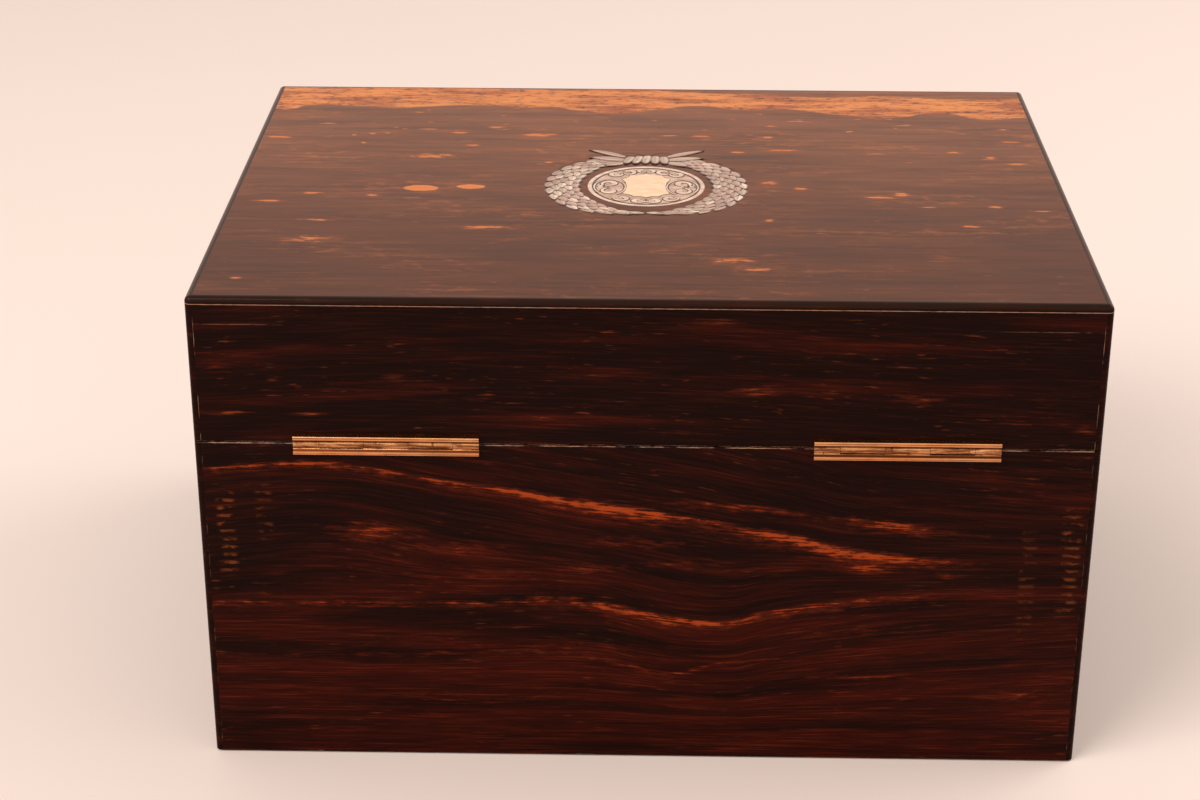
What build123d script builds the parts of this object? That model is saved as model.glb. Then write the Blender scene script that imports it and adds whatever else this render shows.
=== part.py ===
from build123d import *
import os
from math import atan2, cos, hypot, radians, sin, tan

# Antique fitted dressing box: a veneered case and lid on stopped brass hinges, with a
# fitted tray of glass jars above and a sprung jewel drawer below.
# Millimetres. +Z is up. The front, with lock and drawer, faces -Y, and the hinges are at +Y.
# The origin is the centre of the underside.

os.makedirs("parts", exist_ok=True)

# ---------------------------------------------------------------- driving dimensions
# Whole box
box_width = 305.0
box_depth = 231.0
box_height = 175.0
lid_height = 52.5            # from the seam, where lid and case part, to the top
seam_gap = 0.3
arris_break = 0.35           # fine chamfer along the edges that meet at the seam

# Carcass
veneer = 1.0
board = 8.0
lid_top_thickness = 9.0
case_bottom_thickness = 5.0
deck_height = 40.0           # underside of the board between drawer and compartment
deck_thickness = 4.0
deck_groove = 2.0
baize_thickness = 0.6
baize_inset = 1.5
tail_share = 0.6             # width of a dovetail against its pitch
tail_slope = 1 / 6
case_tails = 5
front_tails = 3
lid_tails = 2

# Edging of solid wood along the outer edges
edging = 2.5
edging_radius = 2.0

# Stopped hinges
hinge_length = 62.5
hinge_spread = 174.8         # between the two hinges' middles
hinge_plate = 7.5            # reach of a leaf into the wall
hinge_leaf_thickness = 3.2
hinge_proud = 2.5            # reach of the flanges behind the box
hinge_flange_round = 0.35
pin_offset = 0.6             # pin axis behind the back face
pin_radius = 0.75
pin_clearance = 0.05
barrel_radius = 1.5
barrel_clearance = 0.2
end_knuckle_share = 0.14
middle_knuckles = 3
knuckle_gap = 0.15
stop_angle = 95.0            # where the two flanges meet
stop_ease = 0.5
mortise_ease = 0.1

# Countersunk screws
screw_radius = 1.0
screw_length = 9.0
screw_head_radius = 2.0
screw_head_depth = 1.2
screw_clearance = 0.1
screw_slot_width = 0.5
screw_slot_depth = 0.5
leaf_screws = 3
leaf_screw_pitch = 21.0
leaf_screw_inset = 4.8       # from the pin axis

# Lock
lock_width = 50.0
lock_height = 26.0
lock_depth = 5.5
lock_plate = 0.8
selvedge_length = 66.0
selvedge_width = 7.5
selvedge_thickness = 2.0
staple_spread = 24.0
staple_width = 4.0
staple_thickness = 3.2
staple_drop = 7.0
staple_wall = 0.8
staple_clearance = 0.3
bolt_thickness = 1.1
bolt_clearance = 0.2
bolt_start = 0.5             # from a prong's tip to its staple, unlocked
bolt_travel = 5.0
prong_length = 6.0
prong_stem = 3.0
keyhole_drop = 18.5          # from the seam to the keyhole's round
keyhole_radius = 1.7
keyhole_slot_width = 1.5
keyhole_slot_depth = 5.0
key_post_radius = 0.9
escutcheon_width = 9.0
escutcheon_height = 16.0

# Drawer
drawer_gap = 0.4
drawer_front_thickness = 8.0
drawer_side_thickness = 5.0
drawer_back_thickness = 5.0
drawer_spring_room = 18.5    # between the drawer's back and the case's back board
drawer_bottom_thickness = 2.0
drawer_bottom_rise = 2.0
drawer_side_drop = 0.6       # sides lower than the front
drawer_groove = 2.0
drawer_tails = 2
drawer_tail_length = 5.0
drawer_lining_thickness = 1.2
drawer_divider = 4.0
drawer_divider_spread = 92.0
drawer_divider_drop = 6.0
ring_roll_radius = 6.0
ring_roll_pitch = 12.8
ring_roll_base = 4.0

# Drawer release
release_inset = 4.2          # rod axis from the inner face of the end board
release_from_front = 34.0
button_radius = 2.5
button_clearance = 0.3
button_thickness = 3.0
button_sink = 0.05
button_travel = 3.0
button_well = 12.0
rod_radius = 1.5
rod_clearance = 0.3
rod_foot_height = 20.0
tongue_height = 2.0
tongue_reach = 2.4           # past the inner face of the end board
tongue_play = 0.4
tongue_room = 0.6            # past the tongue's end, in the drawer's channel
keeper_length = 8.0
keeper_height = 5.0
catch_spring_wall = 0.6
drawer_spring_strip = 0.8
drawer_spring_width = 12.0
drawer_spring_span = 170.0
drawer_spring_ease = 0.3     # between the bow and the drawer's back

# Compartment and tray
lining = 0.8
lining_drop = 2.0
tray_clearance = 0.3
tray_wall = 3.0
tray_floor_thickness = 3.0
tray_drop = 6.5              # from the seam to the tray's top edge
tray_divider = 3.0
back_row_depth = 46.4
front_row_depth = 71.4
corner_cell_width = 46.4
ledge_drop = 24.0            # from the tray's top edge to the ledges
ledge_thickness = 4.0
ledge_reach = 4.0
pad_thickness = 7.0
pad_clearance = 0.5
tool_count = 3
tool_pitch = 19.0
tool_groove_radius = 3.6
tool_end_room = 11.45        # from a tool's end to the pad's end or middle
tool_handle_length = 62.0
tool_handle_swell = 5.0      # from the handle's end to its widest place
tool_handle_waist = 20.0     # from the handle's other end to its narrowest place
tool_point = 12.0            # tapered end of a blade
tool_point_radius = 0.3
tool_handle_radius = 3.1
tool_blade_radius = 1.3

# Glass jars and their metal covers
jar_round = 4.0
jar_wall = 4.5
jar_floor = 5.0
jar_play = 2.2               # between a jar and the wall of its cell
bottle_play = 1.7
bottle_drop = 8.2            # from the tray's top edge to the bottle's shoulder
bottle_shoulder = 7.0
bottle_neck_radius = 10.0
bottle_neck_height = 10.0
bottle_bore_radius = 6.0
bottle_cap_radius = 13.0
bottle_cap_height = 23.0
long_jar_drop = 2.2          # from the tray's top edge to the rim of a toilet jar
powder_jar_play = 4.5
powder_cell_play = 6.0
powder_jar_drop = 6.2        # from the tray's top edge to the rim of the powder jar
cover_wall = 1.0
cover_skirt = 7.0
cover_rise = 6.0
cover_fit = 0.3
cover_crown_inset = 7.0      # of a toilet jar cover's flat crown
dome_shoulder = (0.88, 0.55) # shares of the powder cover's radius and rise
dome_crown = (0.6, 0.9)

# Inside of the lid
lid_border_thickness = 11.0
lid_border_clearance = 0.3
mirror_surround = 34.2       # width of the border round the mirror
mirror_frame_width = 10.0
mirror_bevel = 2.0           # widening of the frame's sight towards its face
mirror_rebate = 4.0
mirror_lip = 4.0
mirror_glass_thickness = 3.0
mirror_clearance = 0.2
catch_length = 17.0
catch_width = 6.0
catch_thickness = 1.6
catch_lift = 0.3
catch_screw_radius = 1.2
catch_head_radius = 2.2
catch_head_thickness = 0.7
catch_head_gap = 0.3
catch_hole_play = 0.05
catch_overlap = 4.0

# Inlay of the lid
inlay_x = 1.0
inlay_y = 4.0
plaque_radius = 21.5
plaque_groove_radius = 19.6
plaque_groove_width = 0.6
plaque_groove_depth = 0.25
wreath_stem_radius = 30.3
wreath_steps = 14            # steps of leaves along each branch
wreath_rows = (-2, -1, 0, 1, 2)
wreath_start = 14.0          # degrees from the tie to the first step
wreath_end = 171.0           # degrees from the tie to the tips
leaf_length = 7.6
leaf_width = 3.8
leaf_spread = 2.8            # from one row to the next, across the branch
leaf_turn = 15.0             # degrees that each row turns away from the stem
leaf_lag = 2.6               # degrees that each row starts behind the one inside it
ribbon_length = 20.0
ribbon_width = 3.0
ribbon_lifts = (0.14, -0.02)
petal_pitch = 3.0
petal_count = 5
filled_gap = 25.0            # gaps between leaves with a shorter edge than this are filled

# ---------------------------------------------------------------- derived places
half_width = box_width / 2
half_depth = box_depth / 2
seam_height = box_height - lid_height
keyhole_height = seam_height - keyhole_drop
core_x = half_width - veneer
core_y = half_depth - veneer
inner_x = core_x - board
inner_y = core_y - board
wood_bottom = baize_thickness
case_top = seam_height - seam_gap / 2
lid_bottom = seam_height + seam_gap / 2
lid_core_top = box_height - veneer
lid_ceiling = lid_core_top - lid_top_thickness
lid_border_face = lid_ceiling - lid_border_thickness
edge_x = half_width - edging
edge_y = half_depth - edging
edge_top = box_height - edging
drawer_floor = wood_bottom + case_bottom_thickness
deck_top = deck_height + deck_thickness
pin_y = half_depth + pin_offset
hinge_middles = (-hinge_spread / 2, hinge_spread / 2)
screw_y = pin_y - leaf_screw_inset
lock_y = -inner_y - selvedge_width / 2
compartment_floor = deck_top + lining
tray_x = inner_x - lining - tray_clearance
tray_y = inner_y - lining - tray_clearance
tray_bed = compartment_floor + tray_floor_thickness
tray_top = seam_height - tray_drop
ledge_height = tray_top - ledge_drop
cell_x = tray_x - tray_wall
cell_y = tray_y - tray_wall
middle_row_depth = 2 * cell_y - back_row_depth - front_row_depth - 2 * tray_divider
back_row_front = cell_y - back_row_depth
middle_row_back = back_row_front - tray_divider
middle_row_front = middle_row_back - middle_row_depth
front_row_back = middle_row_front - tray_divider
back_row_middle = cell_y - back_row_depth / 2
corner_divider = cell_x - corner_cell_width
bottle_x = cell_x - corner_cell_width / 2
long_cell_width = corner_divider - tray_divider * 1.5
long_jar_x = tray_divider / 2 + long_cell_width / 2
powder_y = middle_row_back - middle_row_depth / 2
powder_jar_radius = middle_row_depth / 2 - powder_jar_play
centre_cell_width = 2 * (powder_jar_radius + powder_cell_play)
drawer_x = inner_x - drawer_gap
drawer_low = drawer_floor + drawer_gap
drawer_high = deck_height - drawer_gap
drawer_back_y = inner_y - drawer_spring_room
drawer_bed = drawer_low + drawer_bottom_rise + drawer_bottom_thickness
drawer_inner_x = drawer_x - drawer_side_thickness
drawer_inner_front = -core_y + drawer_front_thickness
drawer_inner_back = drawer_back_y - drawer_back_thickness
drawer_side_top = drawer_high - drawer_side_drop
release_x = inner_x + release_inset
release_y = -half_depth + release_from_front
button_top = case_top - button_sink
button_under = button_top - button_thickness
well_floor = case_top - button_well
tongue_top = rod_foot_height + tongue_height
channel_low = rod_foot_height - button_travel - tongue_play
channel_high = tongue_top + tongue_play


# ---------------------------------------------------------------- helpers
def block(x_span, y_span, z_span, mode=Mode.ADD):
    """A straight-sided block between two corners, in the piece being built."""
    spans = (x_span, y_span, z_span)
    middle = tuple((span[0] + span[1]) / 2 for span in spans)
    with Locations(middle):
        Box(*(span[1] - span[0] for span in spans), mode=mode)


def sided(side, near, far):
    """The X span from near to far, on the given side of the middle."""
    return tuple(sorted((side * near, side * far)))


def save(piece, name):
    """Label a finished piece and write it to its file."""
    piece.part.label = name
    export_step(piece.part, f"parts/{name}.step")


def tail_profiles(side, shoulder, reach, z_low, z_high, count):
    """Outlines of dovetail tails in the YZ plane, narrow at the shoulder and wide at the tip."""
    pitch = (z_high - z_low) / count
    half_root = pitch * tail_share / 2 - reach * tail_slope / 2
    half_tip = half_root + reach * tail_slope
    tip = shoulder + reach
    with BuildSketch(Plane.YZ) as tails:
        for number in range(count):
            middle = z_low + (number + 0.5) * pitch
            with BuildLine():
                Polyline(
                    (side * shoulder, middle - half_root),
                    (side * tip, middle - half_tip),
                    (side * tip, middle + half_tip),
                    (side * shoulder, middle + half_root),
                    close=True,
                )
            make_face()
    return tails.sketch


def across(profile, x_span, mode=Mode.ADD):
    """Extrude YZ outlines over an X span, in the piece being built."""
    moved = Pos(x_span[0], 0, 0) * profile
    extrude(moved, amount=x_span[1] - x_span[0], mode=mode)


def cut_corner_rebates(z_span):
    """Take away the four outer corners, where the edging is let in."""
    for side in (-1, 1):
        for end in (-1, 1):
            block(sided(side, edge_x, core_x), sided(end, edge_y, core_y), z_span, Mode.SUBTRACT)


def cut_hinge_mortises(z_span):
    """Take away the room of both hinges' leaves from a wall or veneer."""
    half = hinge_length / 2 + mortise_ease
    for middle in hinge_middles:
        reach = (half_depth - hinge_plate - mortise_ease, half_depth + hinge_proud)
        block((middle - half, middle + half), reach, z_span, Mode.SUBTRACT)


def leaf_screw_places():
    """X places of the hinge screws."""
    middle_number = (leaf_screws - 1) / 2
    offsets = [(number - middle_number) * leaf_screw_pitch for number in range(leaf_screws)]
    return [middle + offset for middle in hinge_middles for offset in offsets]


def screw_profile(clearance):
    """Half outline of a countersunk screw, head up, with the given play all round."""
    head = screw_head_radius + clearance
    shank = screw_radius + clearance
    with BuildSketch(Plane.XZ) as outline:
        with BuildLine():
            Polyline(
                (0, 0),
                (head, 0),
                (shank, -screw_head_depth),
                (shank, -screw_length - clearance),
                (0, -screw_length - clearance),
                close=True,
            )
        make_face()
    return outline.sketch


def screws(places, up, clearance=0.0, mode=Mode.ADD):
    """Countersunk screws with their heads at the given places, facing up or down."""
    for place in places:
        turned = Plane(origin=place, x_dir=(1, 0, 0), z_dir=(0, 0, up))
        outline = screw_profile(clearance)
        axis = Axis(place, (0, 0, 1))
        revolve(turned * outline, axis=axis, mode=mode)
        if mode == Mode.ADD:
            with Locations(turned):
                Box(
                    2 * screw_head_radius + 1,
                    screw_slot_width,
                    2 * screw_slot_depth,
                    mode=Mode.SUBTRACT,
                )


def place_row(xs, y, z):
    """Points in a row along X."""
    return [(x, y, z) for x in xs]


escutcheon_middle = keyhole_height - keyhole_slot_depth / 3
selvedge_screws = (-selvedge_length / 2 + 4.5, selvedge_length / 2 - 4.5)
case_screw_places = place_row(leaf_screw_places(), screw_y, case_top)
case_screw_places += place_row(selvedge_screws, lock_y, case_top)
lid_screw_places = place_row(leaf_screw_places(), screw_y, lid_bottom)
lid_screw_places += place_row(selvedge_screws, lock_y, lid_bottom)


def keyhole(y_span, mode=Mode.SUBTRACT):
    """The keyhole: a round hole with a slot below, through a Y span."""
    low = keyhole_height - keyhole_slot_depth
    plane = Plane(origin=(0, y_span[1], 0), x_dir=(1, 0, 0), z_dir=(0, -1, 0))
    with BuildSketch(plane) as hole:
        with Locations((0, keyhole_height)):
            Circle(keyhole_radius)
        with Locations((0, (low + keyhole_height) / 2)):
            Rectangle(keyhole_slot_width, keyhole_height - low)
    extrude(hole.sketch, amount=y_span[1] - y_span[0], mode=mode)


# ---------------------------------------------------------------- case carcass
def end_board(side, z_low, z_high, front_low, front_count, back_count):
    """An end board with its dovetail tails, full depth below front_low."""
    x_span = sided(side, inner_x, core_x)
    with BuildPart() as piece:
        block(x_span, (-inner_y, inner_y), (z_low, z_high))
        back = tail_profiles(1, inner_y, board, z_low, z_high, back_count)
        front = tail_profiles(-1, inner_y, board, front_low, z_high, front_count)
        across(back, x_span)
        across(front, x_span)
        if front_low > z_low:
            block(x_span, (-core_y, -inner_y), (z_low, front_low))
        cut_corner_rebates((z_low - 1, z_high + 1))
    return piece


def long_board(end, z_low, z_high, count):
    """A front or back board, with pins that fill the room between the tails."""
    y_span = sided(end, inner_y, core_y)
    tails = tail_profiles(end, inner_y, board, z_low, z_high, count)
    with BuildPart() as piece:
        block((-core_x, core_x), y_span, (z_low, z_high))
        across(tails, (-core_x, -inner_x), Mode.SUBTRACT)
        across(tails, (inner_x, core_x), Mode.SUBTRACT)
        cut_corner_rebates((z_low - 1, z_high + 1))
    return piece


def cut_deck_groove(side):
    """The groove that carries the deck board's end."""
    x_span = sided(side, inner_x, inner_x + deck_groove)
    block(x_span, (-inner_y, inner_y), (deck_height, deck_top), Mode.SUBTRACT)


left_case_board = end_board(-1, wood_bottom, case_top, deck_height, front_tails, case_tails)
with BuildPart() as case_left_board:
    add(left_case_board.part)
    cut_deck_groove(-1)
save(case_left_board, "case_left_board")

right_case_board = end_board(1, wood_bottom, case_top, deck_height, front_tails, case_tails)
with BuildPart() as case_right_board:
    add(right_case_board.part)
    cut_deck_groove(1)
    # Well of the release button, and the groove below it that its rod runs in.
    with Locations((release_x, release_y, (well_floor + case_top) / 2)):
        Cylinder(button_radius + button_clearance, button_well, mode=Mode.SUBTRACT)
    groove_half = rod_radius + rod_clearance
    block(
        (inner_x, release_x + groove_half),
        (release_y - groove_half, release_y + groove_half),
        (channel_low - 2, well_floor),
        Mode.SUBTRACT,
    )
save(case_right_board, "case_right_board")

plain_front = long_board(-1, deck_height, case_top, front_tails)
lock_top = case_top - selvedge_thickness
lock_low = lock_top - lock_height
with BuildPart() as case_front_board:
    add(plain_front.part)
    # Mortises of the lock's case and of its selvedge, and the keyhole.
    half_lock = lock_width / 2
    lock_span = (-inner_y - lock_depth, -inner_y)
    block((-half_lock, half_lock), lock_span, (lock_low, case_top), Mode.SUBTRACT)
    selvedge_span = (-inner_y - selvedge_width, -inner_y)
    half_selvedge = selvedge_length / 2
    block((-half_selvedge, half_selvedge), selvedge_span, (lock_top, case_top), Mode.SUBTRACT)
    keyhole((-core_y - 1, -inner_y + 1))
    screws(case_screw_places[-2:], 1, screw_clearance, Mode.SUBTRACT)
save(case_front_board, "case_front_board")

plain_back = long_board(1, wood_bottom, case_top, case_tails)
leaf_floor = case_top - hinge_leaf_thickness
with BuildPart() as case_back_board:
    add(plain_back.part)
    cut_hinge_mortises((leaf_floor, case_top))
    screws(case_screw_places[:-2], 1, screw_clearance, Mode.SUBTRACT)
save(case_back_board, "case_back_board")

with BuildPart() as case_bottom_board:
    block((-inner_x, inner_x), (-core_y, inner_y), (wood_bottom, drawer_floor))
save(case_bottom_board, "case_bottom_board")

with BuildPart() as case_deck_board:
    deck_x = inner_x + deck_groove
    block((-deck_x, deck_x), (-inner_y, inner_y), (deck_height, deck_top))
save(case_deck_board, "case_deck_board")

with BuildPart() as baize_underlay:
    baize_x = half_width - baize_inset
    baize_y = half_depth - baize_inset
    block((-baize_x, baize_x), (-baize_y, baize_y), (0, baize_thickness))
save(baize_underlay, "baize_underlay")


# ---------------------------------------------------------------- case veneer and edging
def break_seam_edge(piece_edges, height):
    """Chamfer the outer edges that lie at the seam."""
    at_seam = [edge for edge in piece_edges if abs(edge.center().Z - height) < seam_gap / 4]
    outer = [edge for edge in at_seam if edge.length > edging]
    reach = [max(abs(edge.center().X) - half_width, abs(edge.center().Y) - half_depth)
             for edge in outer]
    chamfer([edge for edge, gap in zip(outer, reach) if gap > -veneer / 4], length=arris_break)


with BuildPart() as case_front_veneer:
    block((-edge_x, edge_x), (-half_depth, -core_y), (wood_bottom, case_top))
    block((-inner_x, inner_x), (-half_depth, -core_y), (drawer_floor, deck_height), Mode.SUBTRACT)
    shield_plane = Plane(origin=(0, -core_y, escutcheon_middle), x_dir=(1, 0, 0), z_dir=(0, -1, 0))
    with BuildSketch(shield_plane) as shield:
        SlotOverall(escutcheon_height, escutcheon_width, rotation=90)
    extrude(shield.sketch, amount=veneer, mode=Mode.SUBTRACT)
    break_seam_edge(case_front_veneer.edges(), case_top)
save(case_front_veneer, "case_front_veneer")

with BuildPart() as keyhole_escutcheon:
    extrude(shield.sketch, amount=veneer)
    keyhole((-half_depth - 1, -core_y + 1))
save(keyhole_escutcheon, "keyhole_escutcheon")

with BuildPart() as case_back_veneer:
    block((-edge_x, edge_x), (core_y, half_depth), (wood_bottom, case_top))
    break_seam_edge(case_back_veneer.edges(), case_top)
    cut_hinge_mortises((leaf_floor, case_top))
save(case_back_veneer, "case_back_veneer")

with BuildPart() as case_end_veneers:
    for side in (-1, 1):
        block(sided(side, core_x, half_width), (-edge_y, edge_y), (wood_bottom, case_top))
    break_seam_edge(case_end_veneers.edges(), case_top)
save(case_end_veneers, "case_end_veneers")

with BuildPart() as case_corner_edging:
    for side in (-1, 1):
        for end in (-1, 1):
            block(sided(side, edge_x, half_width), sided(end, edge_y, half_depth),
                  (wood_bottom, case_top))
    upright = case_corner_edging.edges().filter_by(Axis.Z)
    outer_corner = hypot(half_width, half_depth)
    fillet(
        [edge for edge in upright
         if hypot(edge.center().X, edge.center().Y) > outer_corner - edging / 2],
        radius=edging_radius,
    )
save(case_corner_edging, "case_corner_edging")


# ---------------------------------------------------------------- lid carcass
left_lid_board = end_board(-1, lid_bottom, lid_ceiling, lid_bottom, lid_tails, lid_tails)
right_lid_board = end_board(1, lid_bottom, lid_ceiling, lid_bottom, lid_tails, lid_tails)
with BuildPart() as lid_end_boards:
    add(left_lid_board.part)
    add(right_lid_board.part)
save(lid_end_boards, "lid_end_boards")

plain_lid_front = long_board(-1, lid_bottom, lid_ceiling, lid_tails)
with BuildPart() as lid_front_board:
    add(plain_lid_front.part)
    block(
        (-half_selvedge, half_selvedge),
        selvedge_span,
        (lid_bottom, lid_bottom + selvedge_thickness),
        Mode.SUBTRACT,
    )
    screws(lid_screw_places[-2:], -1, screw_clearance, Mode.SUBTRACT)
save(lid_front_board, "lid_front_board")

plain_lid_back = long_board(1, lid_bottom, lid_ceiling, lid_tails)
leaf_roof = lid_bottom + hinge_leaf_thickness
with BuildPart() as lid_back_board:
    add(plain_lid_back.part)
    cut_hinge_mortises((lid_bottom, leaf_roof))
    screws(lid_screw_places[:-2], -1, screw_clearance, Mode.SUBTRACT)
save(lid_back_board, "lid_back_board")

with BuildPart() as lid_top_board:
    block((-core_x, core_x), (-core_y, core_y), (lid_ceiling, lid_core_top))
    cut_corner_rebates((lid_ceiling - 1, lid_core_top + 1))
    # Rebate along the top edges for the edging.
    block((-core_x, core_x), (edge_y, core_y), (edge_top, lid_core_top), Mode.SUBTRACT)
    block((-core_x, core_x), (-core_y, -edge_y), (edge_top, lid_core_top), Mode.SUBTRACT)
    block((edge_x, core_x), (-core_y, core_y), (edge_top, lid_core_top), Mode.SUBTRACT)
    block((-core_x, -edge_x), (-core_y, core_y), (edge_top, lid_core_top), Mode.SUBTRACT)
save(lid_top_board, "lid_top_board")


# ---------------------------------------------------------------- wreath and plaque
def leaf(middle, heading, length, width):
    """The face of one lens-shaped leaf: two arcs through its tips."""
    along = Vector(cos(heading), sin(heading))
    aside = Vector(-sin(heading), cos(heading))
    root = middle - along * (length / 2)
    tip = middle + along * (length / 2)
    with BuildLine() as edge:
        ThreePointArc(root, middle + aside * (width / 2), tip)
        ThreePointArc(tip, middle - aside * (width / 2), root)
    return make_face(edge.edges(), mode=Mode.PRIVATE)


def wreath_place(side, angle, radius):
    """A point of a branch: angle in degrees round from the tie, which is at the front."""
    turn = radians(angle)
    return Vector(inlay_x + side * radius * sin(turn), inlay_y - radius * cos(turn))


def branch_leaves(side):
    """The leaves of one branch, in rows across the stem that draw together at the tip."""
    leaves = []
    for number in range(wreath_steps):
        share = number / (wreath_steps - 1)
        angle = wreath_start + share * (wreath_end - wreath_start)
        spread = leaf_spread * (1 - share ** 3)
        size = 1 - 0.35 * share ** 2
        for row in wreath_rows:
            place = angle - leaf_lag * abs(row)
            turn = radians(place)
            growing = atan2(sin(turn), side * cos(turn))
            leaves.append(leaf(
                wreath_place(side, place, wreath_stem_radius + row * spread),
                growing - side * row * radians(leaf_turn) * (1 - share ** 2),
                leaf_length * size,
                leaf_width * size,
            ))
    return leaves


def bow_leaves():
    """Ribbon tails on both sides, and the row of petals that makes the knot."""
    knot = wreath_place(1, 0, wreath_stem_radius + 2)
    leaves = []
    for side in (-1, 1):
        for lift in ribbon_lifts:
            middle = knot + Vector(side * ribbon_length * 0.55, -ribbon_length * lift)
            leaves.append(leaf(middle, atan2(-2 * lift, side), ribbon_length, ribbon_width))
    for number in range(petal_count):
        offset = (number - (petal_count - 1) / 2) * petal_pitch
        heading = radians(90 - 12 * offset / petal_pitch)
        leaves.append(leaf(knot + Vector(offset, 0), heading, leaf_length * 0.75, leaf_width))
    return leaves


with BuildSketch(Plane.XY.offset(lid_core_top)) as wreath_outline:
    add(branch_leaves(-1) + branch_leaves(1) + bow_leaves())
    # The small gaps between leaves are filled, and engraved later.
    gaps = [wire for face in wreath_outline.faces() for wire in face.inner_wires()
            if wire.length < filled_gap]
    add([make_face(wire.edges(), mode=Mode.PRIVATE) for wire in gaps])

with BuildPart() as pearl_wreath:
    extrude(wreath_outline.sketch, amount=veneer)
save(pearl_wreath, "pearl_wreath")

with BuildPart() as engraved_plaque:
    with Locations((inlay_x, inlay_y, lid_core_top + veneer / 2)):
        Cylinder(plaque_radius, veneer)
    with BuildSketch(Plane.XY.offset(box_height)) as rim_line:
        with Locations((inlay_x, inlay_y)):
            Circle(plaque_groove_radius + plaque_groove_width / 2)
            Circle(plaque_groove_radius - plaque_groove_width / 2, mode=Mode.SUBTRACT)
    extrude(rim_line.sketch, amount=-plaque_groove_depth, mode=Mode.SUBTRACT)
save(engraved_plaque, "engraved_plaque")

with BuildPart() as lid_top_veneer:
    block((-edge_x, edge_x), (-edge_y, edge_y), (lid_core_top, box_height))
    extrude(wreath_outline.sketch, amount=veneer, mode=Mode.SUBTRACT)
    with Locations((inlay_x, inlay_y, lid_core_top + veneer / 2)):
        Cylinder(plaque_radius, veneer, mode=Mode.SUBTRACT)
save(lid_top_veneer, "lid_top_veneer")

# ---------------------------------------------------------------- lid veneer and edging
with BuildPart() as lid_side_veneers:
    block((-edge_x, edge_x), (-half_depth, -core_y), (lid_bottom, edge_top))
    for side in (-1, 1):
        block(sided(side, core_x, half_width), (-edge_y, edge_y), (lid_bottom, edge_top))
    break_seam_edge(lid_side_veneers.edges(), lid_bottom)
save(lid_side_veneers, "lid_side_veneers")

with BuildPart() as lid_back_veneer:
    block((-edge_x, edge_x), (core_y, half_depth), (lid_bottom, edge_top))
    break_seam_edge(lid_back_veneer.edges(), lid_bottom)
    cut_hinge_mortises((lid_bottom, leaf_roof))
save(lid_back_veneer, "lid_back_veneer")

with BuildPart() as lid_edging:
    block((-half_width, half_width), (-half_depth, half_depth), (lid_bottom, box_height))
    outer_edges = lid_edging.edges().filter_by(Axis.Z) + lid_edging.edges().group_by(Axis.Z)[-1]
    fillet(outer_edges, radius=edging_radius)
    block((-edge_x, edge_x), (-half_depth - 1, half_depth + 1), (lid_bottom - 1, edge_top),
          Mode.SUBTRACT)
    block((-half_width - 1, half_width + 1), (-edge_y, edge_y), (lid_bottom - 1, edge_top),
          Mode.SUBTRACT)
    block((-edge_x, edge_x), (-edge_y, edge_y), (lid_bottom - 1, box_height + 1), Mode.SUBTRACT)
save(lid_edging, "lid_edging")


# ---------------------------------------------------------------- stopped hinges
hinge_plane = Plane(origin=(0, pin_y, seam_height), x_dir=(0, 1, 0), z_dir=(1, 0, 0))


def knuckle_spans(middle):
    """X spans of a hinge's knuckles, from its left end."""
    end_length = hinge_length * end_knuckle_share
    middle_length = (hinge_length - 2 * end_length) / middle_knuckles
    lengths = [end_length] + [middle_length] * middle_knuckles + [end_length]
    spans = []
    start = middle - hinge_length / 2
    for length in lengths:
        spans.append((start, start + length))
        start += length
    return spans


def leaf_outline(up):
    """Section of a leaf: plate, flange, and the bevel that stops the lid."""
    near = seam_gap / 2
    far = near + hinge_leaf_thickness
    rear = hinge_proud - pin_offset
    bevel = radians((stop_angle + stop_ease) / 2)
    with BuildSketch(hinge_plane) as outline:
        with BuildLine():
            Polyline(
                (-hinge_plate - pin_offset, up * near),
                (near / tan(bevel), up * near),
                (rear, up * rear * tan(bevel)),
                (rear, up * far),
                (-hinge_plate - pin_offset, up * far),
                close=True,
            )
        make_face()
        fillet(outline.vertices().group_by(Axis.X)[-1], radius=hinge_flange_round)
    return outline.sketch


def ring_outline(radius):
    """A circle about the pin axis, square to it."""
    with BuildSketch(hinge_plane) as outline:
        Circle(radius)
    return outline.sketch


def add_leaf(middle, up, own_first):
    """One leaf of a hinge, with every second knuckle its own."""
    whole = (middle - hinge_length / 2, middle + hinge_length / 2)
    across(leaf_outline(up), whole)
    for number, span in enumerate(knuckle_spans(middle)):
        if (number % 2 == 0) != own_first:
            across(ring_outline(barrel_radius + barrel_clearance), span, Mode.SUBTRACT)
    for number, span in enumerate(knuckle_spans(middle)):
        if (number % 2 == 0) == own_first:
            first = span[0] + (knuckle_gap / 2 if number > 0 else 0)
            last = span[1] - (knuckle_gap / 2 if number < middle_knuckles + 1 else 0)
            across(ring_outline(barrel_radius), (first, last))
    across(ring_outline(pin_radius + pin_clearance), whole, Mode.SUBTRACT)


with BuildPart() as hinge_case_leaves:
    for middle in hinge_middles:
        add_leaf(middle, -1, True)
    screws(case_screw_places[:-2], 1, screw_clearance, Mode.SUBTRACT)
save(hinge_case_leaves, "hinge_case_leaves")

with BuildPart() as hinge_lid_leaves:
    for middle in hinge_middles:
        add_leaf(middle, 1, False)
    screws(lid_screw_places[:-2], -1, screw_clearance, Mode.SUBTRACT)
save(hinge_lid_leaves, "hinge_lid_leaves")

with BuildPart() as hinge_pins:
    for middle in hinge_middles:
        across(ring_outline(pin_radius), (middle - hinge_length / 2, middle + hinge_length / 2))
save(hinge_pins, "hinge_pins")

with BuildPart() as case_screws:
    screws(case_screw_places, 1)
save(case_screws, "case_screws")

with BuildPart() as lid_screws:
    screws(lid_screw_places, -1)
save(lid_screws, "lid_screws")

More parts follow.
